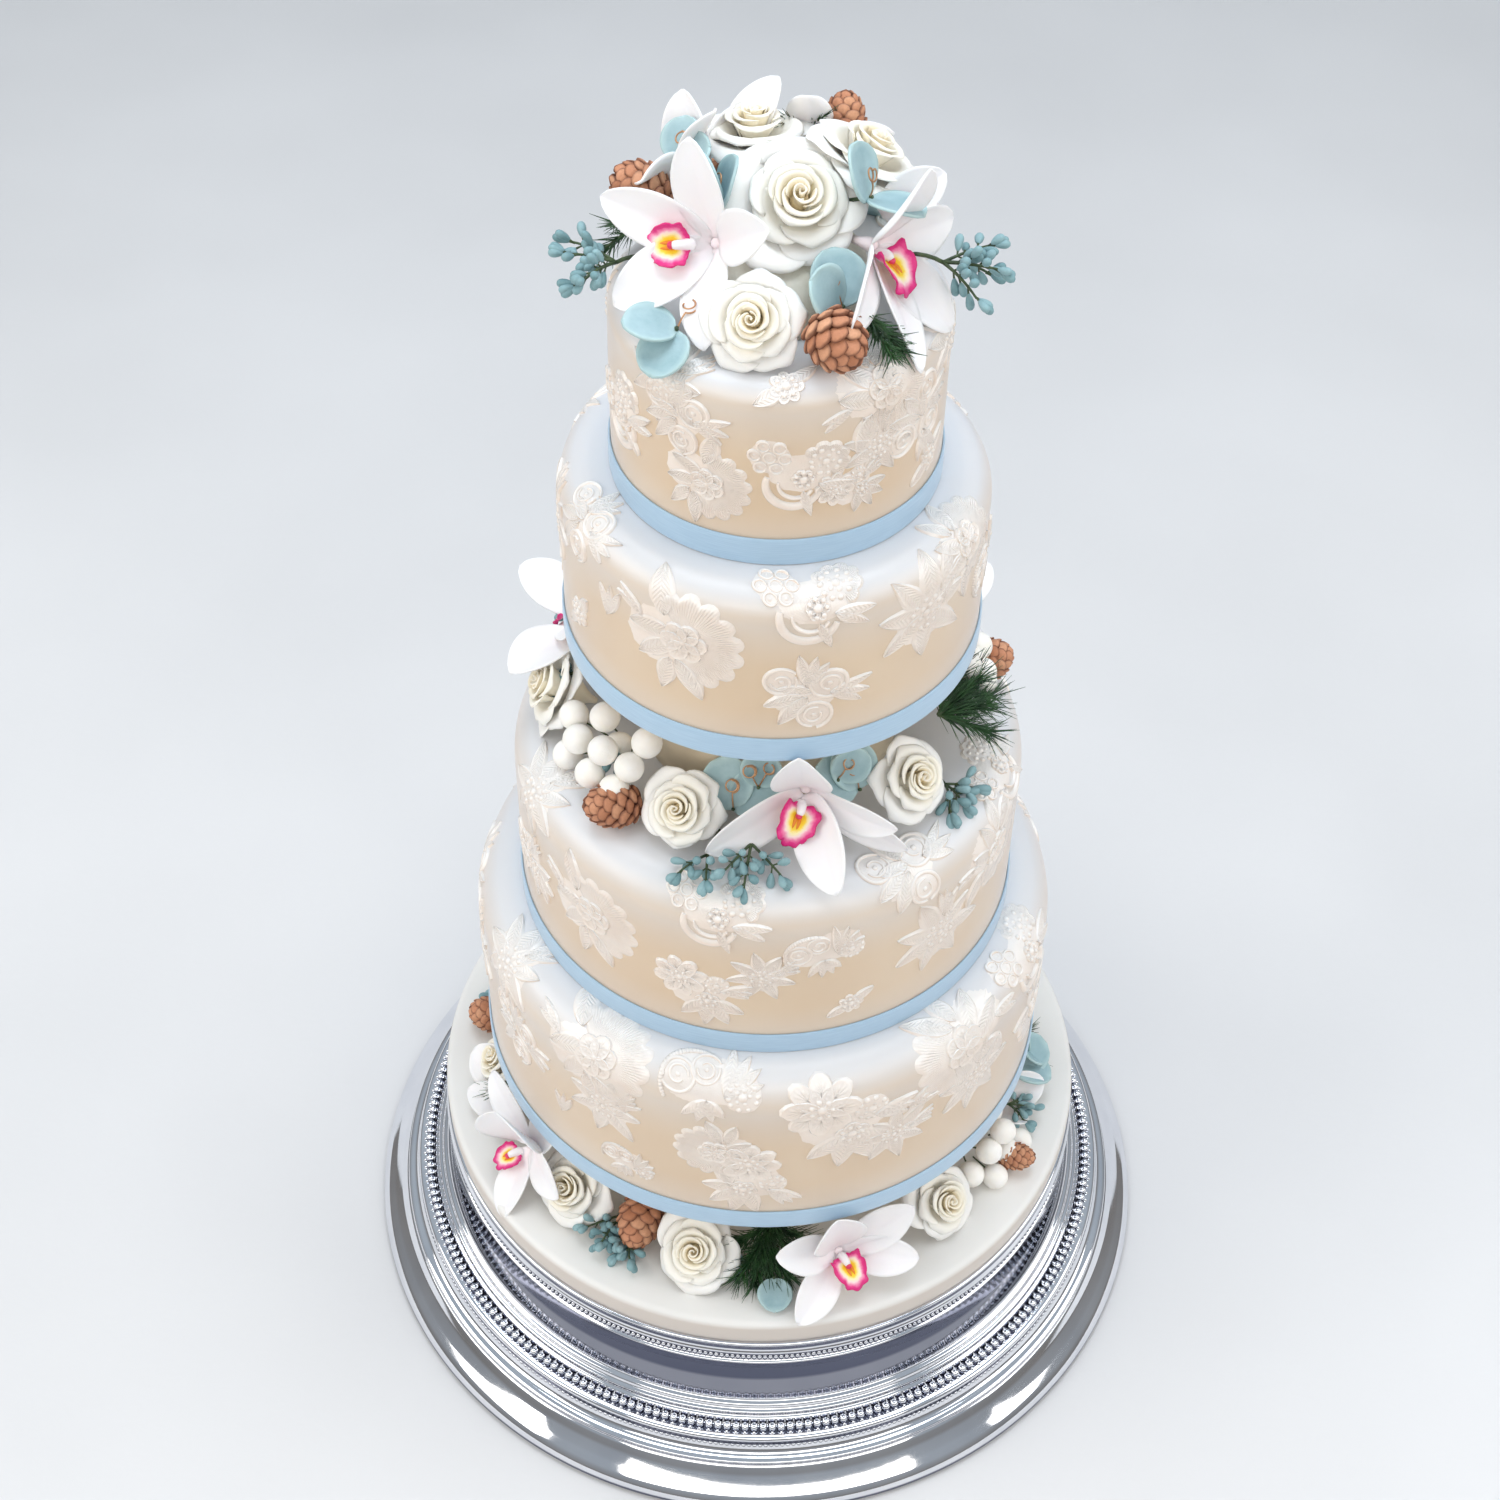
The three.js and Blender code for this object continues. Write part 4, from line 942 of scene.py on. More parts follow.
def lace_round(name):
    """The lace of one tier, carried on round its back in the same spacing."""
    rng = np.random.default_rng(len(name) * 7)
    kinds = ["bloom", "scrolls", "leafy", "fan", "spray", "rings"]
    radius, height, shoulder = TIERS[name]
    step = math.degrees(50 / radius)
    places, azimuth, k = list(LACE_PLACES[name]), 84 + step * 0.7, 0
    while azimuth < 278 - step * 0.5:
        along = (height - shoulder * 0.4) * (0.42, 0.86)[k % 2]
        places.append((kinds[k % 6], azimuth, along, rng.uniform(-50, 50), rng.uniform(0.9, 1.05)))
        azimuth += step * rng.uniform(0.62, 0.78)
        k += 1
    return places


def make_lace(name, seed):
    """Lays each stamp on the tier as a closed shell sunk into its icing."""
    rng = np.random.default_rng(seed)
    shape = Shape()
    for kind, azimuth, along, turn, size in lace_round(name):
        motif, ground = MOTIFS[kind]
        stamps = motif(rng)
        if ground:
            stamps.insert(0, pad(*ground, 0.42, 11, 0.14))
        for order, (x, y, *rest) in enumerate(stamps):
            x, y, height, lines, depth = stamp(x * size, y * abs(size), *rest, turn)
            up = np.maximum(along + y, RIBBON_HEIGHT + 1.2)
            # At azimuth 0 a tier's points lie at minus their distance from the axis.
            azimuths = azimuth + np.degrees(x / -tier_point(name, 0, up, 0)[..., 1])
            top = tier_point(name, azimuths, up, height * 0.84 + 0.012 * order)
            made = stud(top, tier_point(name, azimuths, up, -1.4))
            tint = np.pad(tints(x.shape, lines, depth), ((0, len(made[0]) - x.size), (0, 0)))
            shape.add(made, tint=tint)
    shape.piece("tier_" + name + "_lace", [LACE], "tier_icing", sharp=44)


def make_tiers():
    for seed, name in enumerate(TIERS):
        make_icing(name, seed + 1)
        make_lace(name, seed + 20)
        make_ribbon(name)


# ---- Petals ----

def blade(length, width, lift, bend, cup, full, rows, cols, neck, ruffle, waves, crease, curl, blunt, seed):
    """The upper surface of a petal or leaf that runs along +Y from its root, as a net of points."""
    rng = np.random.default_rng(seed)
    u, v = grid(rows, cols)
    slope = np.radians(lift + bend * u + curl * np.clip(u - 0.7, 0, 1) ** 2 * 10)
    step = length / (rows - 1)
    y, z = (np.cumsum(np.concatenate([[0], step * way(slope[:-1, 0])]))[:, None] for way in (np.cos, np.sin))
    power = math.log(0.5) / math.log(full)
    half = width / 2 * (np.maximum(np.sin(math.pi * u ** power), 0) ** blunt + neck * (1 - u) ** 3) + 0.2
    phase = rng.uniform(0, CIRCLE, 2)
    wavy = np.sin(CIRCLE * waves * u + np.where(v < 0, phase[0], phase[1]))
    rise = cup * half * v ** 2 + ruffle * wavy * np.abs(v) ** 2.5 * np.sin(math.pi * u) ** 0.6
    rise = rise - crease * ridge(v, 0, 0.16) * np.sin(math.pi * u) ** 0.5
    return np.stack([half * v, y - rise * np.sin(slope), z + rise * np.cos(slope)], -1)


def edged(rows, cols, thick, thin):
    """Thickness of a petal: full in the middle, thinner to its sides and ends."""
    u, v = grid(rows, cols, -1)
    return thick * (thin + (1 - thin) * np.clip((1 - v ** 4) * (1 - u ** 8), 0, 1))


# ---- Orchids ----

# Tepals: angle from the top clockwise, length, width, lift, bend.
TEPALS = [(0, 1.0, 0.52, 30, -34), (-70, 1.02, 0.52, 26, -32), (70, 1.02, 0.52, 26, -32),
          (-142, 1.0, 0.48, 22, -26), (142, 1.0, 0.48, 22, -26)]


def add_tepal(shape, matrix, size, tepal, rng):
    """A thick waxy tepal with a pointed tip and a soft fold down its middle."""
    angle, length, width, lift, bend = tepal
    top = blade(size * length, size * width, lift, bend, 0.26, 0.52, 22, 15, 0.22, rng.uniform(0.2, 0.5),
                rng.uniform(0.8, 1.4), 0.45, rng.uniform(-16, 4), 0.66, int(rng.integers(1 << 30)))
    u, v = grid(22, 15)
    shape.add_sheet(top, edged(22, 15, 1.6, 0.45), matrix @ turn_z(-angle) @ shift(0, size * 0.05, -0.4),
                    red=u, green=np.abs(v), blue=rng.random())


def add_orchid(shape, matrix, seed, size, lip=(180, 52, 1.0, 0.1, 0.0), tepals=TEPALS):
    rng = np.random.default_rng(seed)
    for tepal in tepals:
        add_tepal(shape, matrix, size, tepal, rng)
    add_lip(shape, matrix, size, rng, *lip)
    back = smooth_path([(0, 0, -size * 0.28), (0, 0, -size * 0.12), (0, 0, -size * 0.04), (0, 0, size * 0.01)], 6)
    shape.add(tube(back, [1.6, 2.2, 3.0, 3.2, 2.6, 1.4], 10), matrix)


def dish(rings, thickness):
    """A closed shell under rings of points that run round a middle point."""
    middle = rings[0].mean(0)
    normal = np.cross(np.gradient(rings, axis=0), np.roll(rings, -1, axis=1) - np.roll(rings, 1, axis=1))
    under = (rings - unit(normal) * thickness)[::-1]
    return loft(np.concatenate([rings, under]), middle, middle - unit(normal[0].mean(0)) * thickness)


def add_lip(shape, matrix, size, rng, angle, lift, scale, start, proud):
    """A ruffled scoop that curls up at its sides, and the column that stands over its throat."""
    length, width = size * 0.54 * scale, size * 0.52 * scale
    ray = np.linspace(0.07, 1, 13)[:, None]
    turn = round_turn(64)[None, :]
    phase = rng.uniform(0, CIRCLE, 3)
    frilly = 0.045 * np.sin(9 * turn + phase[0]) + 0.03 * np.sin(14 * turn + phase[1])
    reach = ray * (1 + 0.05 * np.cos(3 * turn) + ray ** 3 * frilly)
    across = width * 0.5 * reach * np.sin(turn)
    forward = np.where(np.cos(turn) > 0, 0.62, 0.36) * length
    share = np.clip(length * 0.38 + forward * reach * np.cos(turn), 0, None) / length
    # The scoop's middle line: its slope, and its way forward and up.
    run = np.linspace(0, 1.15, 60)
    slope = np.radians(lift + 6 - 80 * run ** 1.2)
    line_y, line_z = (np.concatenate([[0], np.cumsum(way(slope[:-1]) * np.diff(run))]) * length
                      for way in (np.cos, np.sin))
    y, z, tilt = (np.interp(share, run, line) for line in (line_y, line_z, slope))
    frill = ray ** 4 * (0.9 * np.sin(8 * turn + phase[2]) + 0.5 * np.sin(13 * turn + phase[0]))
    rise = 0.06 * np.clip(1.2 - share, 0.15, 1.2) ** 1.5 * across ** 2 + frill + 0.4 * ray ** 2
    rings = np.stack([across * (1 - 0.012 * np.abs(across) * np.clip(1.1 - share, 0, 1)),
                      y - rise * np.sin(tilt), z + rise * np.cos(tilt)], -1)
    where = matrix @ turn_z(-angle) @ shift(0, size * start, size * proud)
    red = 1 - np.concatenate([ray, ray[::-1]])
    tint = np.concatenate([tints((26, 64), red, np.abs(np.sin(turn))), [[1, 0, 0], [1, 0, 0]]])
    shape.add(dish(rings, 0.7), where, 1, tint)
    t = np.linspace(0.16, 0.62, 6)
    for side in (-1.1, 1.1):
        crest = np.stack([0 * t + side, np.interp(t, run, line_y), np.interp(t, run, line_z) + 0.5], -1)
        shape.add(tube(crest, [0.4, 0.9, 1.1, 1.1, 0.8, 0.3], 8), where, 1, (1.0, 0.0, 0.0))
    lean = math.radians(lift + 26)
    axis = np.array([0, math.cos(lean), math.sin(lean)])
    end = axis * size * 0.19
    path = smooth_path([axis * 0, end * 0.55 + (0, -0.8, 0), end + (0, 2.4, -0.6)], 8)
    shape.add(tube(path, [2.9, 2.7, 2.5, 2.3, 2.2, 2.1, 1.9, 1.2], 12), where, 0, (0, 1, 0))
    shape.add(egg(1.7, 1.4, 6, 12), where @ aimed(path[-1] + axis * 0.2, axis + (0, 1.2, -0.2)), 2)


# ---- Roses ----

# Rounds of petals from the heart out: petals, span in degrees, reach and height of the edge, how far the
# edge rolls out, all in radii of the rose.
ROSE_ROUNDS = [
    (2, 210, 0.23, 0.47, 0.04), (3, 170, 0.39, 0.42, 0.07), (3, 152, 0.58, 0.33, 0.13),
    (5, 114, 0.87, 0.14, 0.20), (5, 106, 1.15, -0.06, 0.24),
]


def add_rose(shape, matrix, seed, size, openness):
    """Coiled heart, then rounds of broad petals that open wider and roll back to a point at their edges."""
    rng = np.random.default_rng(seed)
    rows, cols = 15, 19
    t, s = grid(rows, cols)
    start = rng.uniform(0, 360)
    for ring, (petals, span, reach, height, roll) in enumerate(ROSE_ROUNDS):
        depth = ring / (len(ROSE_ROUNDS) - 1)
        root, bottom = 0.05 + 0.05 * ring, -0.36 - 0.015 * ring
        start += rng.uniform(20, 50)
        for k in range(petals):
            middle = math.radians(start + 360 * (k + 0.5 * (ring % 2)) / petals + rng.uniform(-10, 10))
            grow = rng.uniform(0.94 - 0.06 * depth, 1.06 + 0.04 * depth) * (1 + (openness - 1) * depth)
            tip = rng.uniform(-0.25, 0.25)
            edge_height = height + rng.uniform(-0.02, 0.02) * (1 + 3 * depth)
            sway = rng.uniform(0, 6.28, 2)
            point = (0.03 + 0.11 * depth) * ridge(s, tip, 0.17)
            up = t * (1 - (0.2 + 0.16 * depth) * np.abs(s) ** 2.4 + point) / (1 + 0.1 * depth)
            arch = np.sin(np.clip(up, 0, 1) * math.pi / 2)
            fold = np.clip((up - 0.6) / 0.4, 0, 1.2)
            rolled = roll * (0.75 + 0.7 * depth * np.abs(s - tip) ** 1.3)
            out = (root + (reach * grow - roll - root) * arch ** (0.75 + 0.25 * depth) + rolled * fold ** 1.4
                   + (0.065 - 0.02 * depth) * s * (0.3 + up))
            level = (bottom + (edge_height - bottom) * arch ** (0.9 - 0.15 * depth) - rolled * 0.75 * fold ** 2
                     + (0.015 + 0.04 * depth) * np.sin(3.4 * s + sway[0]) * up ** 3
                     + 0.02 * depth * np.sin(8 * s + sway[1]) * up ** 5
                     + 0.06 * depth * np.abs(s) ** 3 * up ** 2 - 0.05 * depth * (1 - s ** 2) * up ** 4)
            a = middle + np.radians(span / 2) * s * (0.6 + 0.4 * np.clip(up * 1.7, 0, 1))
            top = np.stack([out * np.cos(a), out * np.sin(a), level], -1) * size
            shape.add_sheet(top, edged(rows, cols, 0.85, 0.5), matrix, red=depth, green=up)
    add_heart(shape, matrix, size, rng)
    calyx = smooth_path([(0, 0, -size), (0, 0, -size * 0.7), (0, 0, -size * 0.45), (0, 0, -size * 0.2)], 7)
    shape.add(tube(calyx, np.array([0.06, 0.1, 0.18, 0.28, 0.34, 0.34, 0.2]) * size, 14), matrix, 0, (0.6, 0.2, 0))


def add_heart(shape, matrix, size, rng):
    """The loose coil of petal in a rose's heart."""
    t, s = grid(7, 40)
    s = (s + 1) / 2
    a = rng.uniform(0, 6.28) + CIRCLE * 1.35 * s
    out = (0.022 + 0.125 * s) * (0.8 + 0.22 * t) + 0.02 * np.clip(t - 0.7, 0, 1) * 3
    level = -0.2 + (0.7 - 0.04 * s - 0.03 * np.sin(2 * a)) * t
    top = np.stack([out * np.cos(a), out * np.sin(a), level], -1) * size
    shape.add_sheet(top, 0.65, matrix, green=t)
    shape.add(egg(0.17 * size, 0.24 * size, 6, 12), matrix)


# ---- Cones, leaves, buds, needles and berries ----

GOLDEN_TURN = 2.39996


def add_cone(shape, matrix, seed, size, length):
    """An egg-shaped cone of plump rounded scales, set in a spiral on a dark core."""
    rng = np.random.default_rng(seed)
    half = length / 2
    shape.add(egg(size * 0.86, half * 0.92, 8, 16, -0.12), matrix)
    count = int(26 + 22 * half / size)
    u, v = grid(8, 8, -1)
    x, y = u * np.sqrt(1 - v ** 2 / 2.6), v * np.sqrt(1 - u ** 2 / 2.6)
    spread = x ** 2 + y ** 2
    rise = (0.45 * (np.sqrt(np.clip(1.3 - spread, 0, 1.3)) - 0.35) + 0.26 * y
            + 0.12 * ridge(x, 0, 0.2) * np.clip(y + 0.6, 0, 1))
    face = np.clip((1.15 - np.sqrt(spread)) * 3.0, 0, 1)
    for k in range(count):
        level = -0.93 + 1.88 * (k + 0.5) / count
        round_by = math.sqrt(max(1 - level ** 2, 0.02))
        a = GOLDEN_TURN * k
        outward = np.array([math.cos(a), math.sin(a), 0.0])
        slope = math.atan2(level * size, half * round_by)
        wide = size * (0.27 + 0.12 * (1 - level ** 2)) * rng.uniform(0.92, 1.06)
        tall = wide * rng.uniform(0.88, 1.0)
        made = stud(np.stack([x * wide, y * tall, rise * wide], -1),
                    np.stack([x * wide * 0.8, y * tall * 0.8, 0 * x - 0.35 * wide], -1))
        draw = rng.random()
        tint = np.concatenate([tints(x.shape, face, draw), [[0, draw, 0]] * (len(made[0]) - x.size)])
        at = outward * size * 0.88 * round_by * (1 - 0.12 * level) + (0, 0, level * half * 0.97)
        where = aimed(at, outward * math.cos(slope) + (0, 0, math.sin(slope) - 0.12))
        shape.add(made, matrix @ where, 0, tint)


def add_tendril(shape, matrix, reach, seed):
    """A thin wire that ends in an open coil."""
    rng = np.random.default_rng(seed)
    turn = np.linspace(0, CIRCLE * 1.5, 30)
    loop = (3.1 + 0.4 * rng.random()) * (1 - 0.25 * turn / turn[-1])
    curl = np.stack([loop * np.sin(turn), reach + 3.2 - loop * np.cos(turn), 4 + 0.3 * turn], -1)
    t = np.linspace(0, 1, 7, endpoint=False)
    lead = np.stack([0 * t, curl[0, 1] * t, 4 * np.sin(t * math.pi / 2)], -1)
    shape.add(tube(np.concatenate([lead, curl]), 0.4, 6), matrix, 2)


def add_leaves(shape, matrix, seed, size, blades, tendrils=(-8,)):
    """Round thick leaves on a short stem, with thin coils of wire between them."""
    u, v = grid(18, 15, -1)
    for k, (angle, lift) in enumerate(blades):
        top = blade(size, size * 0.97, lift, -12, 0.16, 0.5, 18, 15, 0.04, 0.2, 1.0, 0.12, 0, 0.5, seed + k)
        shape.add_sheet(top, edged(18, 15, 1.6, 0.75), matrix @ turn_z(-angle),
                        red=np.maximum(np.abs(u), np.abs(v)), green=np.abs(v))
    shape.add(tube([(0, 0, -size * 0.4), (0, 0, -size * 0.2), (0, 0, 0), (0, 0, 1.5)], 0.9, 8), matrix, 1)
    for k, angle in enumerate(tendrils):
        add_tendril(shape, matrix @ turn_z(-angle), size * (0.3 + 0.1 * k), seed + k)


def add_bud(shape, root, towards, matrix, rng, scale):
    """One bud on its short stalk: a club, fat end out."""
    length = 8.2 * scale * rng.uniform(0.88, 1.1)
    stalk = 2.6 * scale * rng.uniform(0.7, 1.5)
    towards = unit(towards + rng.uniform(-0.12, 0.12, 3))
    where = aimed(root + towards * (stalk + length / 2), towards, (0.1, 0.9, 0.2))
    shape.add(egg(2.15 * scale * rng.uniform(0.9, 1.1), length / 2, 7, 9, 0.34), matrix @ where, 0,
              (rng.random(), 0, 0))
    path = [root, root + towards * stalk * 0.6, root + towards * (stalk + 1.2)]
    shape.add(tube(path, [0.45, 0.4, 0.6], 5), matrix, 1)


def add_seeds(shape, matrix, seed, size, branches, scale=0.9, fan=62, pairs=3):
    """A spray of eucalyptus buds: branches fan out along +Y, each with pairs of buds and a tuft at its end."""
    rng = np.random.default_rng(seed)
    fork = np.array([0, size * 0.12, 0])
    shape.add(tube(smooth_path([(0, -size * 0.35, -size * 0.1), (0, -size * 0.1, 0), fork], 6), 0.9, 6), matrix, 1)
    for b in range(branches):
        lean = math.radians(-fan + 2 * fan * (b + 0.5) / branches + rng.uniform(-6, 6))
        towards = unit(np.array([math.sin(lean), math.cos(lean), rng.uniform(-0.1, 0.45)]))
        long = size * rng.uniform(0.48, 0.62)
        end = fork + towards * long + (0, 0, rng.uniform(-2, 2))
        path = smooth_path([fork, fork + towards * long * 0.5 + (0, 0, 1.2), end], 8)
        shape.add(tube(path, np.linspace(0.8, 0.5, 8), 6), matrix, 1)
        across = unit(np.cross(towards, (0, 0, 1)))
        over = np.cross(across, towards)
        for k in range(pairs):
            root, spin = path[int(2 + 5 * k / pairs)], rng.uniform(0, math.pi)
            for turn in (spin, spin + math.pi):
                off = across * math.cos(turn) + over * math.sin(turn)
                add_bud(shape, root, towards * 0.75 + off, matrix, rng, scale)
        for k in range(3):
            off = [rng.uniform(-0.5, 0.5), rng.uniform(-0.2, 0.4), rng.uniform(-0.4, 0.5)]
            add_bud(shape, end - towards * 1.5, towards + off, matrix, rng, scale)


NEEDLE_TREE = needle_tree()


def add_needles(shape, matrix, seed, size, stems, count, length, fan=36):
    """Tufts of fine needles on a few dark stems that fan out along +Y."""
    rng = np.random.default_rng(seed)
    for k in range(stems):
        lean = math.radians(-fan + 2 * fan * k / max(stems - 1, 1))
        towards = np.array([math.sin(lean), math.cos(lean), rng.uniform(-0.05, 0.4)])
        path = smooth_path([(0, -3, 0), towards * size * 0.35, towards * size * 0.72], 7)
        shape.add(tube(path, np.linspace(1.0, 0.5, 7), 6), matrix, 1)
        stem = bpy.data.meshes.new("needle_stem")
        world = (path @ matrix[:3, :3].T + matrix[:3, 3]) * MM
        stem.from_pydata(world.tolist(), [(i, i + 1) for i in range(len(world) - 1)], [])
        tuft = grown("needle_tuft", NEEDLE_TREE, stem, Needles=count, Needle_Length=length * MM,
                     Needle_Radius=0.42 * MM, Lean=0.7, Seed=int(rng.integers(1000)), Material=NEEDLE)
        points = np.empty(len(tuft.vertices) * 3)
        tuft.vertices.foreach_get("co", points)
        shape.add((points.reshape(-1, 3) / MM, [list(p.vertices) for p in tuft.polygons]), tint=(rng.random(), 0, 0))
        bpy.data.meshes.remove(tuft)


def add_berries(shape, matrix, seed, cluster):
    """Round sugar berries, each on a thin dark wire. The cluster is in widths of a berry."""
    rng = np.random.default_rng(seed)
    for middle in np.array(cluster) * 1.86 * BERRY_RADIUS:
        reach = BERRY_RADIUS * rng.uniform(0.93, 0.98)
        where = matrix @ aimed(middle, rng.uniform(-1, 1, 3))
        shape.add(egg(reach, reach * rng.uniform(0.96, 1.0), 14, 24), where, 0, (rng.random(), 0, 0))
        root = middle * 0.4 + (0, 0, -1.5 * BERRY_RADIUS)
        shape.add(tube(smooth_path([middle * 0.95, (middle + root) / 2, root], 5), 0.5, 5), matrix, 1)


# ---- Where each sugar piece is ----

TOP, MIDDLE, LOW = LEVEL["mound"], LEVEL["middle"], LEVEL["low"]

# Slot: what adds one piece, its materials, the end of its name and its first seed.
KINDS = {
    "orchid": (add_orchid, [TEPAL, LIP, ANTHER], "_sugar", 100),
    "rose": (add_rose, [ROSE], "_sugar", 200),
    "cone": (add_cone, [CONE], "_scales", 300),
    "leaf": (add_leaves, [LEAF, STEM, COPPER], "_sugar", 400),
    "seed": (add_seeds, [BUD, STEM], "_buds", 500),
    "needle": (add_needles, [NEEDLE, STEM], "_green", 600),
    "berry": (add_berries, [BERRY, STEM], "_sugar", 700),
}
# Node: place, facing and form. These are the places of the solids. A third number of a facing is a spin about it.
PLACES = {
    "orchid": {
        "orchid_top_left": ((-57, 33, TOP + 32), (-37, 27), 43, (246, 46, 0.88, 0.2, 0.12), [
            (61, 0.98, 0.5, 40, -24), (153, 1.03, 0.5, 32, -22), (-145, 1.12, 0.56, 36, -20),
            (-87, 1.16, 0.5, 34, -20), (-22, 1.02, 0.52, 34, -22)]),
        "orchid_top_right": ((68, 42, TOP + 31), (56, 6), 43, (190, 80, 0.94, 0.1, 0.02), [
            (98, 1.0, 0.54, 26, -22), (162, 1.14, 0.52, 44, -16), (-158, 1.26, 0.42, 44, -14),
            (-104, 1.08, 0.46, 32, -20), (11, 1.02, 0.52, 42, -18)]),
        "orchid_top_back_left": ((-128, 52, TOP + 34), (-125, 35), 36),
        "orchid_top_back": ((170, 60, TOP + 24), (178, 28), 38),
        "orchid_mid_front": ((13, 82, MIDDLE + 29), (-4, 4), 44, (202, 76, 0.92, 0.1, 0.12), [
            (-3, 1.22, 0.62, 48, -30), (94, 1.08, 0.42, 38, -28), (116, 1.26, 0.36, 18, -14),
            (146, 1.18, 0.56, 60, -16), (-116, 1.24, 0.5, 38, -20)]),
        "orchid_mid_left": ((-112, 100, MIDDLE + 32), (-108, 34), 38),
        "orchid_mid_right": ((120, 98, MIDDLE + 32), (118, 34), 38),
        "orchid_low_front": ((17, 158, LOW + 22), (20, 46), 42, (168, 52, 0.9, 0.08, 0.04), [
            (-10, 0.94, 0.72, 58, -4), (72, 1.1, 0.5, 24, -22), (109, 1.02, 0.5, 22, -22),
            (-135, 1.04, 0.5, 16, -20), (-75, 0.96, 0.5, 34, -22)]),
        "orchid_low_left": ((-55, 156, LOW + 24), (-51, 32), 41, (202, 60, 0.74, 0.2, 0.04), [
            (-28, 0.9, 1.1, 70, -28), (26, 0.98, 0.5, 26, -22), (93, 0.97, 0.42, 26, -24),
            (162, 1.04, 0.5, 26, -22), (-72, 1.16, 0.46, 12, -16)]),
        "orchid_low_back": ((-150, 152, LOW + 24), (-150, 46), 38),
    },
    "rose": {
        "rose_top_centre": ((58, 8, TOP + 44), (8, 56), 25, 1.12),
        "rose_top_front": ((-11, 54, TOP + 19), (-14, 40), 21, 0.98),
        "rose_top_back_left": ((-163, 46, TOP + 47), (-176, 80), 21, 1.25),
        "rose_top_back_right": ((126, 44, TOP + 48), (108, 62), 23, 1.15),
        "rose_mid_front_left": ((-25.5, 95, MIDDLE + 20), (-24, 44), 20, 0.98),
        "rose_mid_front_right": ((47, 97, MIDDLE + 25), (44, 42), 21, 0.98),
        "rose_mid_left": ((-86, 108, MIDDLE + 22), (-84, 30), 24, 1.0),
        "rose_mid_back": ((168, 96, MIDDLE + 21), (168, 40), 22, 0.95),
        "rose_low_front_left": ((-42, 154, LOW + 20), (-40, 46), 23, 0.92),
        "rose_low_front": ((-12, 155, LOW + 19), (-12, 52), 23, 0.96),
        "rose_low_right": ((42, 156, LOW + 20), (42, 46), 23, 0.9),
        "rose_low_left": ((-79, 152, LOW + 22), (-78, 40), 23, 0.95),
        "rose_low_back": ((150, 150, LOW + 22), (150, 42), 23, 0.95),
    },
    "cone": {
        "cone_top_front": ((22, 62, TOP + 14), (40, -22), 12, 26),
        "cone_top_left": ((-104, 61, TOP + 35), (-92, 36), 11, 28),
        "cone_top_back": ((158, 68, TOP + 41), (160, 70), 9, 24),
        "cone_mid_left": ((-44, 106, MIDDLE + 11), (-72, 12), 10.5, 29),
        "cone_low_front": ((-26, 145, LOW + 15), (-20, -22), 12, 31),
        "cone_low_right": ((62, 167, LOW + 10), (80, 10), 7.5, 22),
    },
    "leaf": {
        "leaves_top_front": ((34, 46, TOP + 16), (24, 52, 6), 25, ((14, 12), (-52, 48))),
        "leaves_top_left": ((-82, 26, TOP + 41), (-80, 22), 22, ((-6, 10), (-46, 40))),
        "leaves_top_back_left": ((-118, 49, TOP + 43), (-40, 50, 8), 20, ((-16, 18), (64, 34))),
        "leaves_top_right": ((85, 36, TOP + 46), (70, 22), 25, ((-4, 8), (196, 72))),
        "leaves_top_front_left": ((-42, 63, TOP + 9), (-40, 85), 23, ((232, 20), (170, -16))),
        "leaves_mid_left": ((-11, 83, MIDDLE + 16), (-8, 50), 26, ((-20, 14), (50, 10))),
        "leaves_mid_right": ((31, 86, MIDDLE + 24), (32, 45), 25, ((2, 14), (-44, 8))),
        "leaves_low_right": ((82, 148, LOW + 20), (84, 45, 10), 25, ((140, 50), (206, 44))),
    },
    "seed": {
        "seeds_top_left": ((-78, 66, TOP + 20), (-78, 75, 180), 38, 4),
        "seeds_top_right": ((78, 64, TOP + 24), (80, 75, 180), 42, 4),
        "seeds_mid_front": ((-4, 94, MIDDLE + 12), (-3, 62, 180), 36, 3),
        "seeds_low_front": ((-31, 140, LOW + 10), (-30, 72, 180), 36, 3),
    },
    "needle": {
        "needles_top_front": ((40, 58, TOP + 15), (42, 45, 190), 24, 3, 80, 9.5, 20),
        "sprig_mid_right": ((70, 90, MIDDLE + 34), (72, 55, 240), 38, 4, 130, 16.0, 44),
        "sprig_low_front": ((4, 134, LOW + 18), (4, 58, 180), 28, 5, 110, 14.0, 66),
    },
    "berry": {
        "berries_mid_left": ((-57, 94, MIDDLE + 26), (-55, 40), [
            (-1.86, -0.16, 0), (-0.54, 0.74, 0.2), (-0.89, -0.47, 0.3), (0.51, 0.09, 0.6), (1.28, 1.13, -0.1),
            (-1.39, -1.4, -0.3), (0.26, -0.98, 0.2), (1.4, 0.18, 0.1), (1.33, -0.8, 0), (0.1, 0.1, -0.5)]),
        "berries_mid_right": ((97, 100, MIDDLE + 30), (98, 35), [
            (0, 0, 0), (1.0, 0.35, 0), (-0.9, 0.55, 0.1), (0.1, -1.0, 0), (0.2, 1.0, 0.3), (-0.9, -0.5, 0.1),
            (1.0, -0.7, 0.2)]),
        "berries_low_right": ((59, 150, LOW + 20), (58, 40), [
            (-0.36, -0.05, 0.5), (0.58, -0.95, 0.2), (0.42, 0.24, 0.9), (-0.42, -1.3, 0), (1.49, -1.29, 0),
            (-1.16, -0.48, -0.2), (0.9, 0.9, 0.3), (0.2, 0.3, -0.3)]),
    },
}
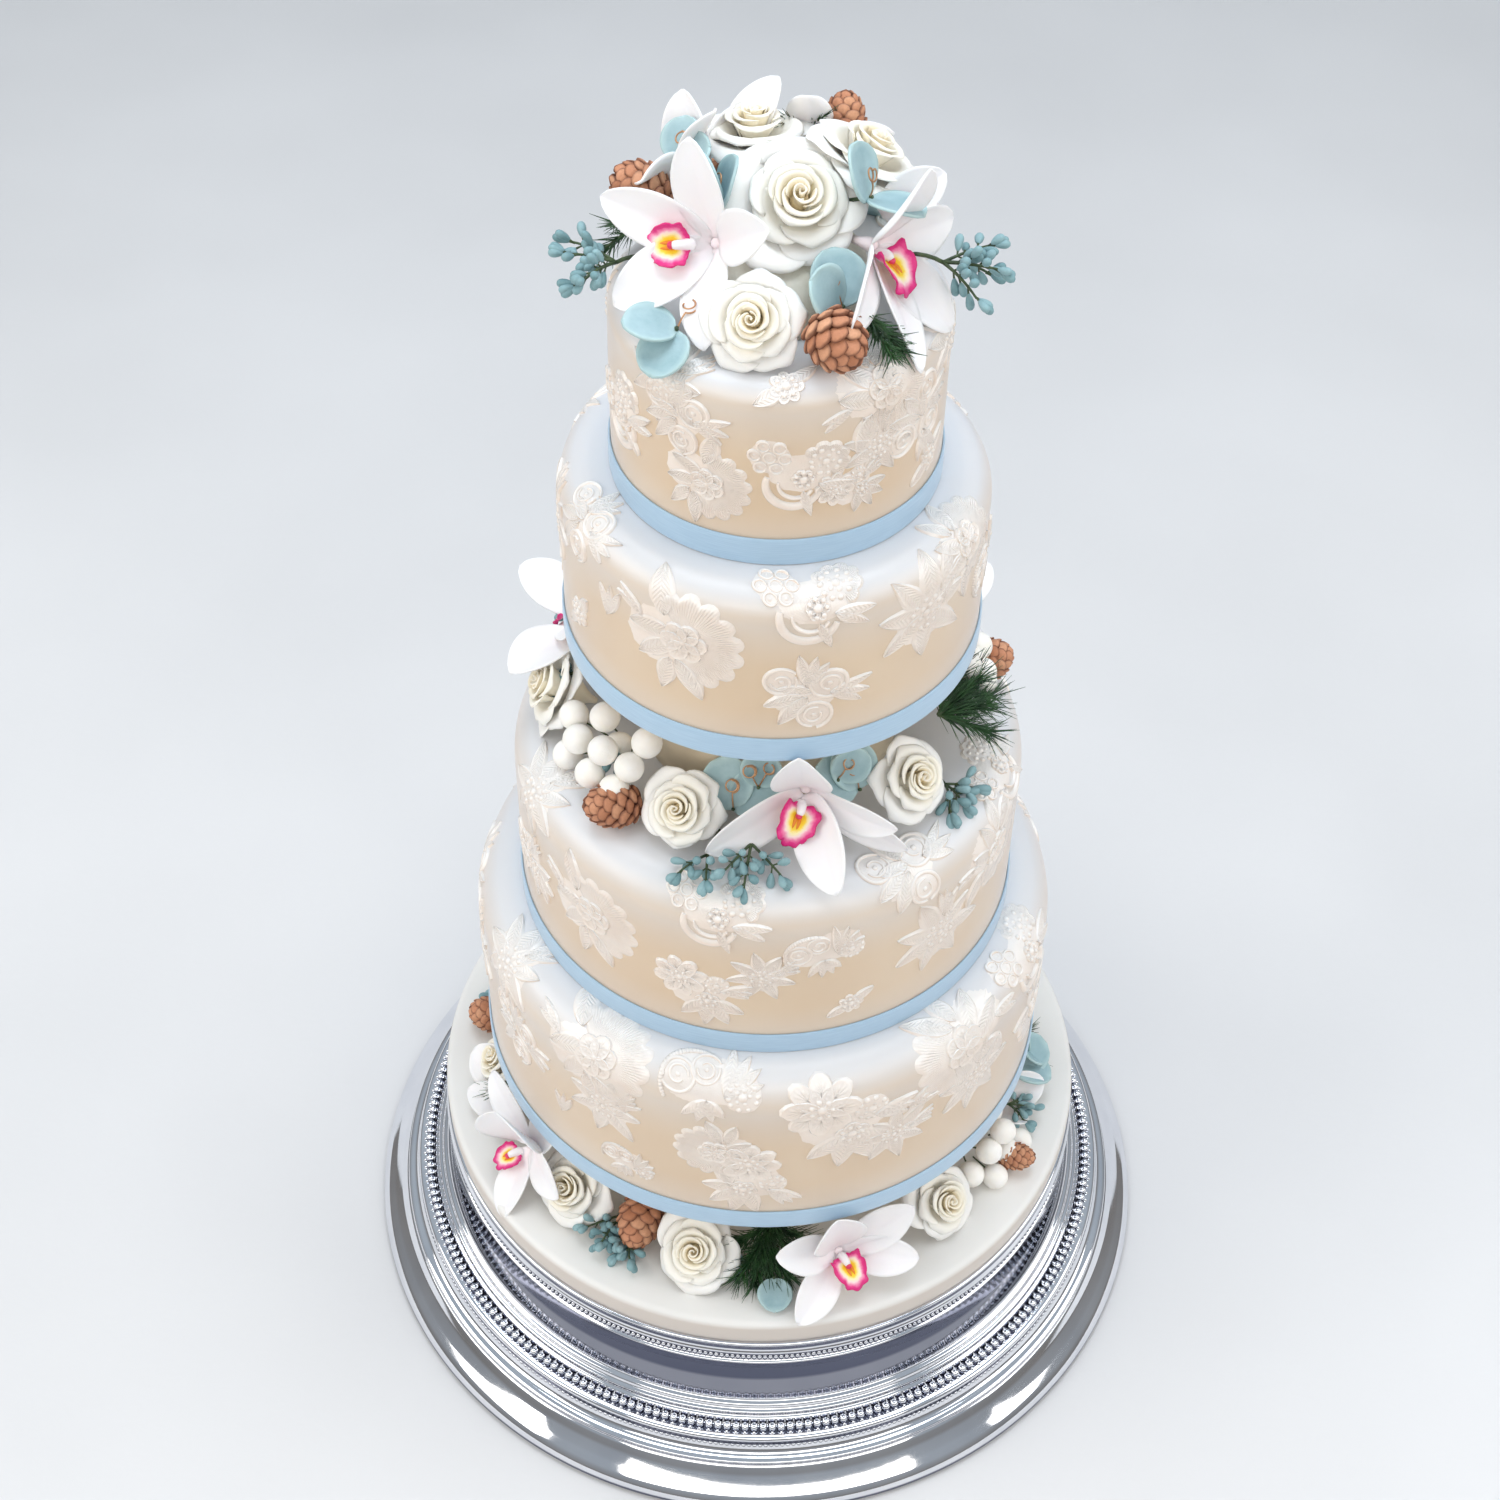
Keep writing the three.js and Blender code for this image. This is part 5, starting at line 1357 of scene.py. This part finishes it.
# Smaller pieces of the same kinds, that the solids leave out: name, slot, first seed, form that all share, rows.
MORE = [
    ("filler_leaves", "leaf", 800, {}, [
        ((-90, 32, TOP + 38), (-50, 30, -10), 18, ((-30, 30),), (-10, 14)),
        ((-168, 62, TOP + 16), (-170, 20, 20), 24, ((-30, 20), (40, 50)), (0,)),
        ((150, 58, TOP + 10), (150, 20, 140), 23, ((-30, 24), (36, 40)), (0,)),
        ((-140, 60, TOP + 10), (-140, 20, 160), 23, ((-30, 30), (38, 20)), (0,)),
        ((-3, 76, MIDDLE + 26), (-4, 40), 20, ((6, 26),), (-30, 25)),
        ((24, 82, MIDDLE + 32), (30, 30, -50), 20, ((0, 30),), (-14,)),
        ((146, 96, MIDDLE + 9), (146, 60, 20), 25, ((-40, 25), (50, 30)), (0,)),
        ((-128, 96, MIDDLE + 9), (-128, 60, -20), 25, ((-40, 25), (50, 30)), (0,)),
        ((-170, 98, MIDDLE + 9), (-170, 60), 24, ((-30, 25), (40, 30)), (0,)),
        ((4, 161, LOW + 8), (4, 72, 180), 19, ((0, 12),), ()),
        ((-2, 154, LOW + 12), (-60, 20, 150), 16, ((0, 20),), ()),
        ((88, 158, LOW + 16), (92, 50, 30), 22, ((-30, 30), (40, 50)), (0,)),
        ((-125, 152, LOW + 9), (-125, 60, 10), 23, ((-40, 25), (50, 30)), (0,)),
        ((119, 152, LOW + 9), (119, 60, 10), 24, ((-40, 25), (50, 30)), (0,)),
        ((165, 152, LOW + 9), (165, 60, 10), 23, ((-40, 25), (50, 30)), (0,)),
    ]),
    ("filler_buds", "seed", 900, {"fan": 52, "pairs": 2}, [
        ((-52, 84, MIDDLE + 24), (-40, 60, 170), 18, 2, 0.85),
        ((-15, 101, MIDDLE + 6), (-18, 66, 176), 30, 2, 0.95),
        ((-92, 92, MIDDLE + 28), (-92, 40, 190), 22, 3, 0.9),
        ((-112, 108, MIDDLE + 20), (-112, 30, 170), 20, 2, 0.9),
        ((58, 100, MIDDLE + 10), (58, 60, 180), 26, 3, 1.0),
        ((104, 100, MIDDLE + 14), (104, 40, 180), 22, 2, 0.9),
        ((140, 100, MIDDLE + 12), (140, 45, 180), 26, 3, 1.0),
        ((-155, 100, MIDDLE + 10), (-155, 50, 180), 26, 3, 1.0),
        ((-27, 150, LOW + 7), (-26, 70, 175), 22, 3, 0.95),
        ((72, 150, LOW + 16), (72, 60, 200), 22, 3, 0.85),
        ((-100, 146, LOW + 12), (-100, 60, 180), 26, 3, 1.0),
        ((114, 148, LOW + 12), (114, 60, 180), 28, 3, 1.0),
        ((168, 146, LOW + 10), (168, 60, 180), 26, 3, 1.0),
        ((-150, 66, TOP + 16), (-150, 60, 180), 30, 3, 1.0),
        ((140, 66, TOP + 14), (140, 60, 180), 30, 3, 1.0),
    ]),
    ("filler_needles", "needle", 1000, {}, [
        ((172, 62, TOP + 40), (176, 60), 18, 2, 34, 10.0),
        ((-106, 66, TOP + 14), (-106, 40, 180), 22, 2, 60, 11.0),
        ((76, 94, MIDDLE + 32), (76, 50, 262), 34, 3, 120, 16.0),
        ((-130, 100, MIDDLE + 18), (-130, 50, 180), 30, 3, 100, 15.0),
        ((155, 100, MIDDLE + 16), (155, 50, 180), 26, 3, 90, 15.0),
        ((-71, 148, LOW + 20), (-72, 50, 190), 20, 2, 90, 13.0),
        ((2, 142, LOW + 15), (4, 56, 178), 33, 4, 120, 15.0),
        ((92, 150, LOW + 12), (92, 50, 180), 24, 2, 90, 13.0),
        ((-132, 146, LOW + 14), (-132, 50, 180), 28, 3, 100, 14.0),
        ((133, 146, LOW + 14), (133, 50, 180), 28, 3, 100, 14.0),
    ]),
    ("filler_cones", "cone", 1100, {}, [
        ((-94, 162, LOW + 11), (-94, 10), 10, 24), ((106, 118, MIDDLE + 10), (106, 15), 10, 22),
        ((-126, 108, MIDDLE + 11), (-126, 15), 11, 26), ((128, 158, LOW + 12), (130, 15), 11, 26),
        ((-165, 152, LOW + 13), (-165, 15), 12, 28), ((-160, 64, TOP + 12), (-160, 20), 11, 25),
    ]),
    ("filler_roses", "rose", 1150, {}, [
        ((-146, 97, MIDDLE + 21), (-146, 40), 21, 0.95), ((105, 152, LOW + 21), (105, 44), 22, 0.95),
        ((-113, 152, LOW + 21), (-113, 44), 22, 0.95), ((-176, 151, LOW + 21), (-176, 44), 22, 0.95),
    ]),
]
# Single white petals: root, tip, the way the face looks, width as a share of length.
MORE_PETALS = [
    ((-133, 47, TOP + 28), (-137, 63, TOP + 62), (-50, 40), 0.62),
    ((-150, 52, TOP + 28), (-176, 58, TOP + 62), (-30, 30), 0.44),
    ((-112, 46, TOP + 24), (-112, 68, TOP + 38), (-70, 40), 0.8),
    ((96, 40, TOP + 32), (100, 67, TOP + 48), (60, 45), 0.6),
    ((-112, 96, MIDDLE + 30), (-115, 141, MIDDLE + 40), (-60, 60), 0.5),
    ((-100, 98, MIDDLE + 36), (-88, 128, MIDDLE + 29), (-60, 50), 0.7),
    ((118, 102, MIDDLE + 28), (124, 134, MIDDLE + 36), (70, 50), 0.5),
    ((-74, 148, LOW + 12), (-82, 167, LOW + 22), (-70, 50), 0.8),
    ((-67, 150, LOW + 8), (-75, 173, LOW + 12), (-70, 50), 0.6),
    ((75, 148, LOW + 10), (79, 167, LOW + 20), (70, 50), 0.8),
    ((72, 146, LOW + 6), (71, 164, LOW + 9), (70, 50), 0.8),
]


def seat(at, facing):
    return aimed(spot(*at), direction(*facing[:2])) @ turn_z(sum(facing[2:]))


def make_sugar():
    for slot, (add, materials, ending, first) in KINDS.items():
        for seed, (node, (at, facing, *form)) in enumerate(PLACES[slot].items(), first):
            shape = Shape()
            add(shape, seat(at, facing), seed, *form)
            shape.piece(node + ending, materials, slot, [node])


def make_fillers():
    for name, slot, first, shared, rows in MORE:
        add, materials, *_ = KINDS[slot]
        shape = Shape()
        for seed, (at, facing, *form) in enumerate(rows, first):
            add(shape, seat(at, facing), seed, *form, **shared)
        shape.piece(name, materials, slot)
    rng = np.random.default_rng(1200)
    shape = Shape()
    for *ends, width in MORE_PETALS:
        matrix, length = between(*ends)
        add_tepal(shape, matrix, length, (0, 1.02, width, 16, -30), rng)
    shape.piece("filler_petals", [TEPAL], "orchid")


# ---- Floor, light and camera ----

def make_floor():
    mesh = bpy.data.meshes.new("floor")
    mesh.from_pydata([(-6, -6, 0), (6, -6, 0), (6, 6, 0), (-6, 6, 0)], [], [(0, 1, 2, 3)])
    mesh.materials.append(FLOOR)
    in_scene("floor", mesh)


# Place, width and height, power, colour. All look at the middle of the cake.
LIGHTS = {
    "overhead": ((0.0, 0.35, 2.3), (1.5, 1.1), 25.0, (0.87, 0.93, 1.0)),
    "left_window": ((-2.0, -0.6, 1.5), (2.0, 1.3), 26.0, (1.0, 0.96, 0.9)),
    "right_window": ((2.0, -0.3, 1.5), (1.8, 1.3), 19.0, (1.0, 0.97, 0.93)),
    "front_fill": ((0.2, -2.3, 1.9), (3.4, 0.9), 28.0, (1.0, 0.94, 0.87)),
}


def make_light():
    world = bpy.context.scene.world = bpy.data.worlds.new("studio")
    world.use_nodes = True
    sky = Nodes(world.node_tree)
    height = sky.node("ShaderNodeSeparateXYZ", {0: sky.node("ShaderNodeTexCoord")["Generated"]})["Z"]
    ramp = sky.node("ShaderNodeValToRGB", {"Fac": height})
    for element, position, colour in zip(ramp[0].node.color_ramp.elements, (0.0, 0.7),
                                         ((0.4, 0.38, 0.36, 1.0), (0.8, 0.9, 1.0, 1.0))):
        element.position, element.color = position, colour
    background = sky.tree.nodes["Background"].inputs
    sky.fill(background["Color"], ramp["Color"])
    sky.fill(background["Strength"], 0.5)
    for name, (at, (width, tall), power, colour) in LIGHTS.items():
        data = bpy.data.lights.new(name, "AREA")
        data.shape, data.size, data.size_y, data.energy, data.color = "RECTANGLE", width, tall, power, colour
        in_scene(name, data).matrix_world = Matrix(aimed(at, np.array(at) - (0.0, 0.0, 0.4)).tolist())


# The camera stands in front of the cake and looks down on it. Angles are in radians.
CAMERA = {"back": 840.6, "height": 1277.8, "pitch": 0.817, "yaw": -0.011, "roll": 0.019,
          "focal_pixels": 2373.4, "frame_pixels": 1500}


def make_camera():
    pitch, yaw, roll = CAMERA["pitch"], CAMERA["yaw"], CAMERA["roll"]
    forward = np.array([math.sin(yaw) * math.cos(pitch), math.cos(yaw) * math.cos(pitch), -math.sin(pitch)])
    right = np.array([math.cos(yaw), -math.sin(yaw), 0.0])
    up = np.cross(right, forward)
    data = bpy.data.cameras.new("camera")
    data.sensor_width, data.clip_end = 36.0, 50.0
    data.lens = CAMERA["focal_pixels"] / CAMERA["frame_pixels"] * data.sensor_width
    m = axes(math.cos(roll) * right + math.sin(roll) * up, -math.sin(roll) * right + math.cos(roll) * up, -forward,
             np.array([0.0, -CAMERA["back"], CAMERA["height"]]) * MM)
    camera = bpy.context.scene.camera = in_scene("camera", data)
    camera.matrix_world = Matrix(m.tolist())


make_camera()
make_light()
make_floor()
bpy.context.scene.view_settings.view_transform = "Standard"

make_stand()
make_board()
make_separators()
make_tiers()
make_mound()
make_sugar()
make_fillers()
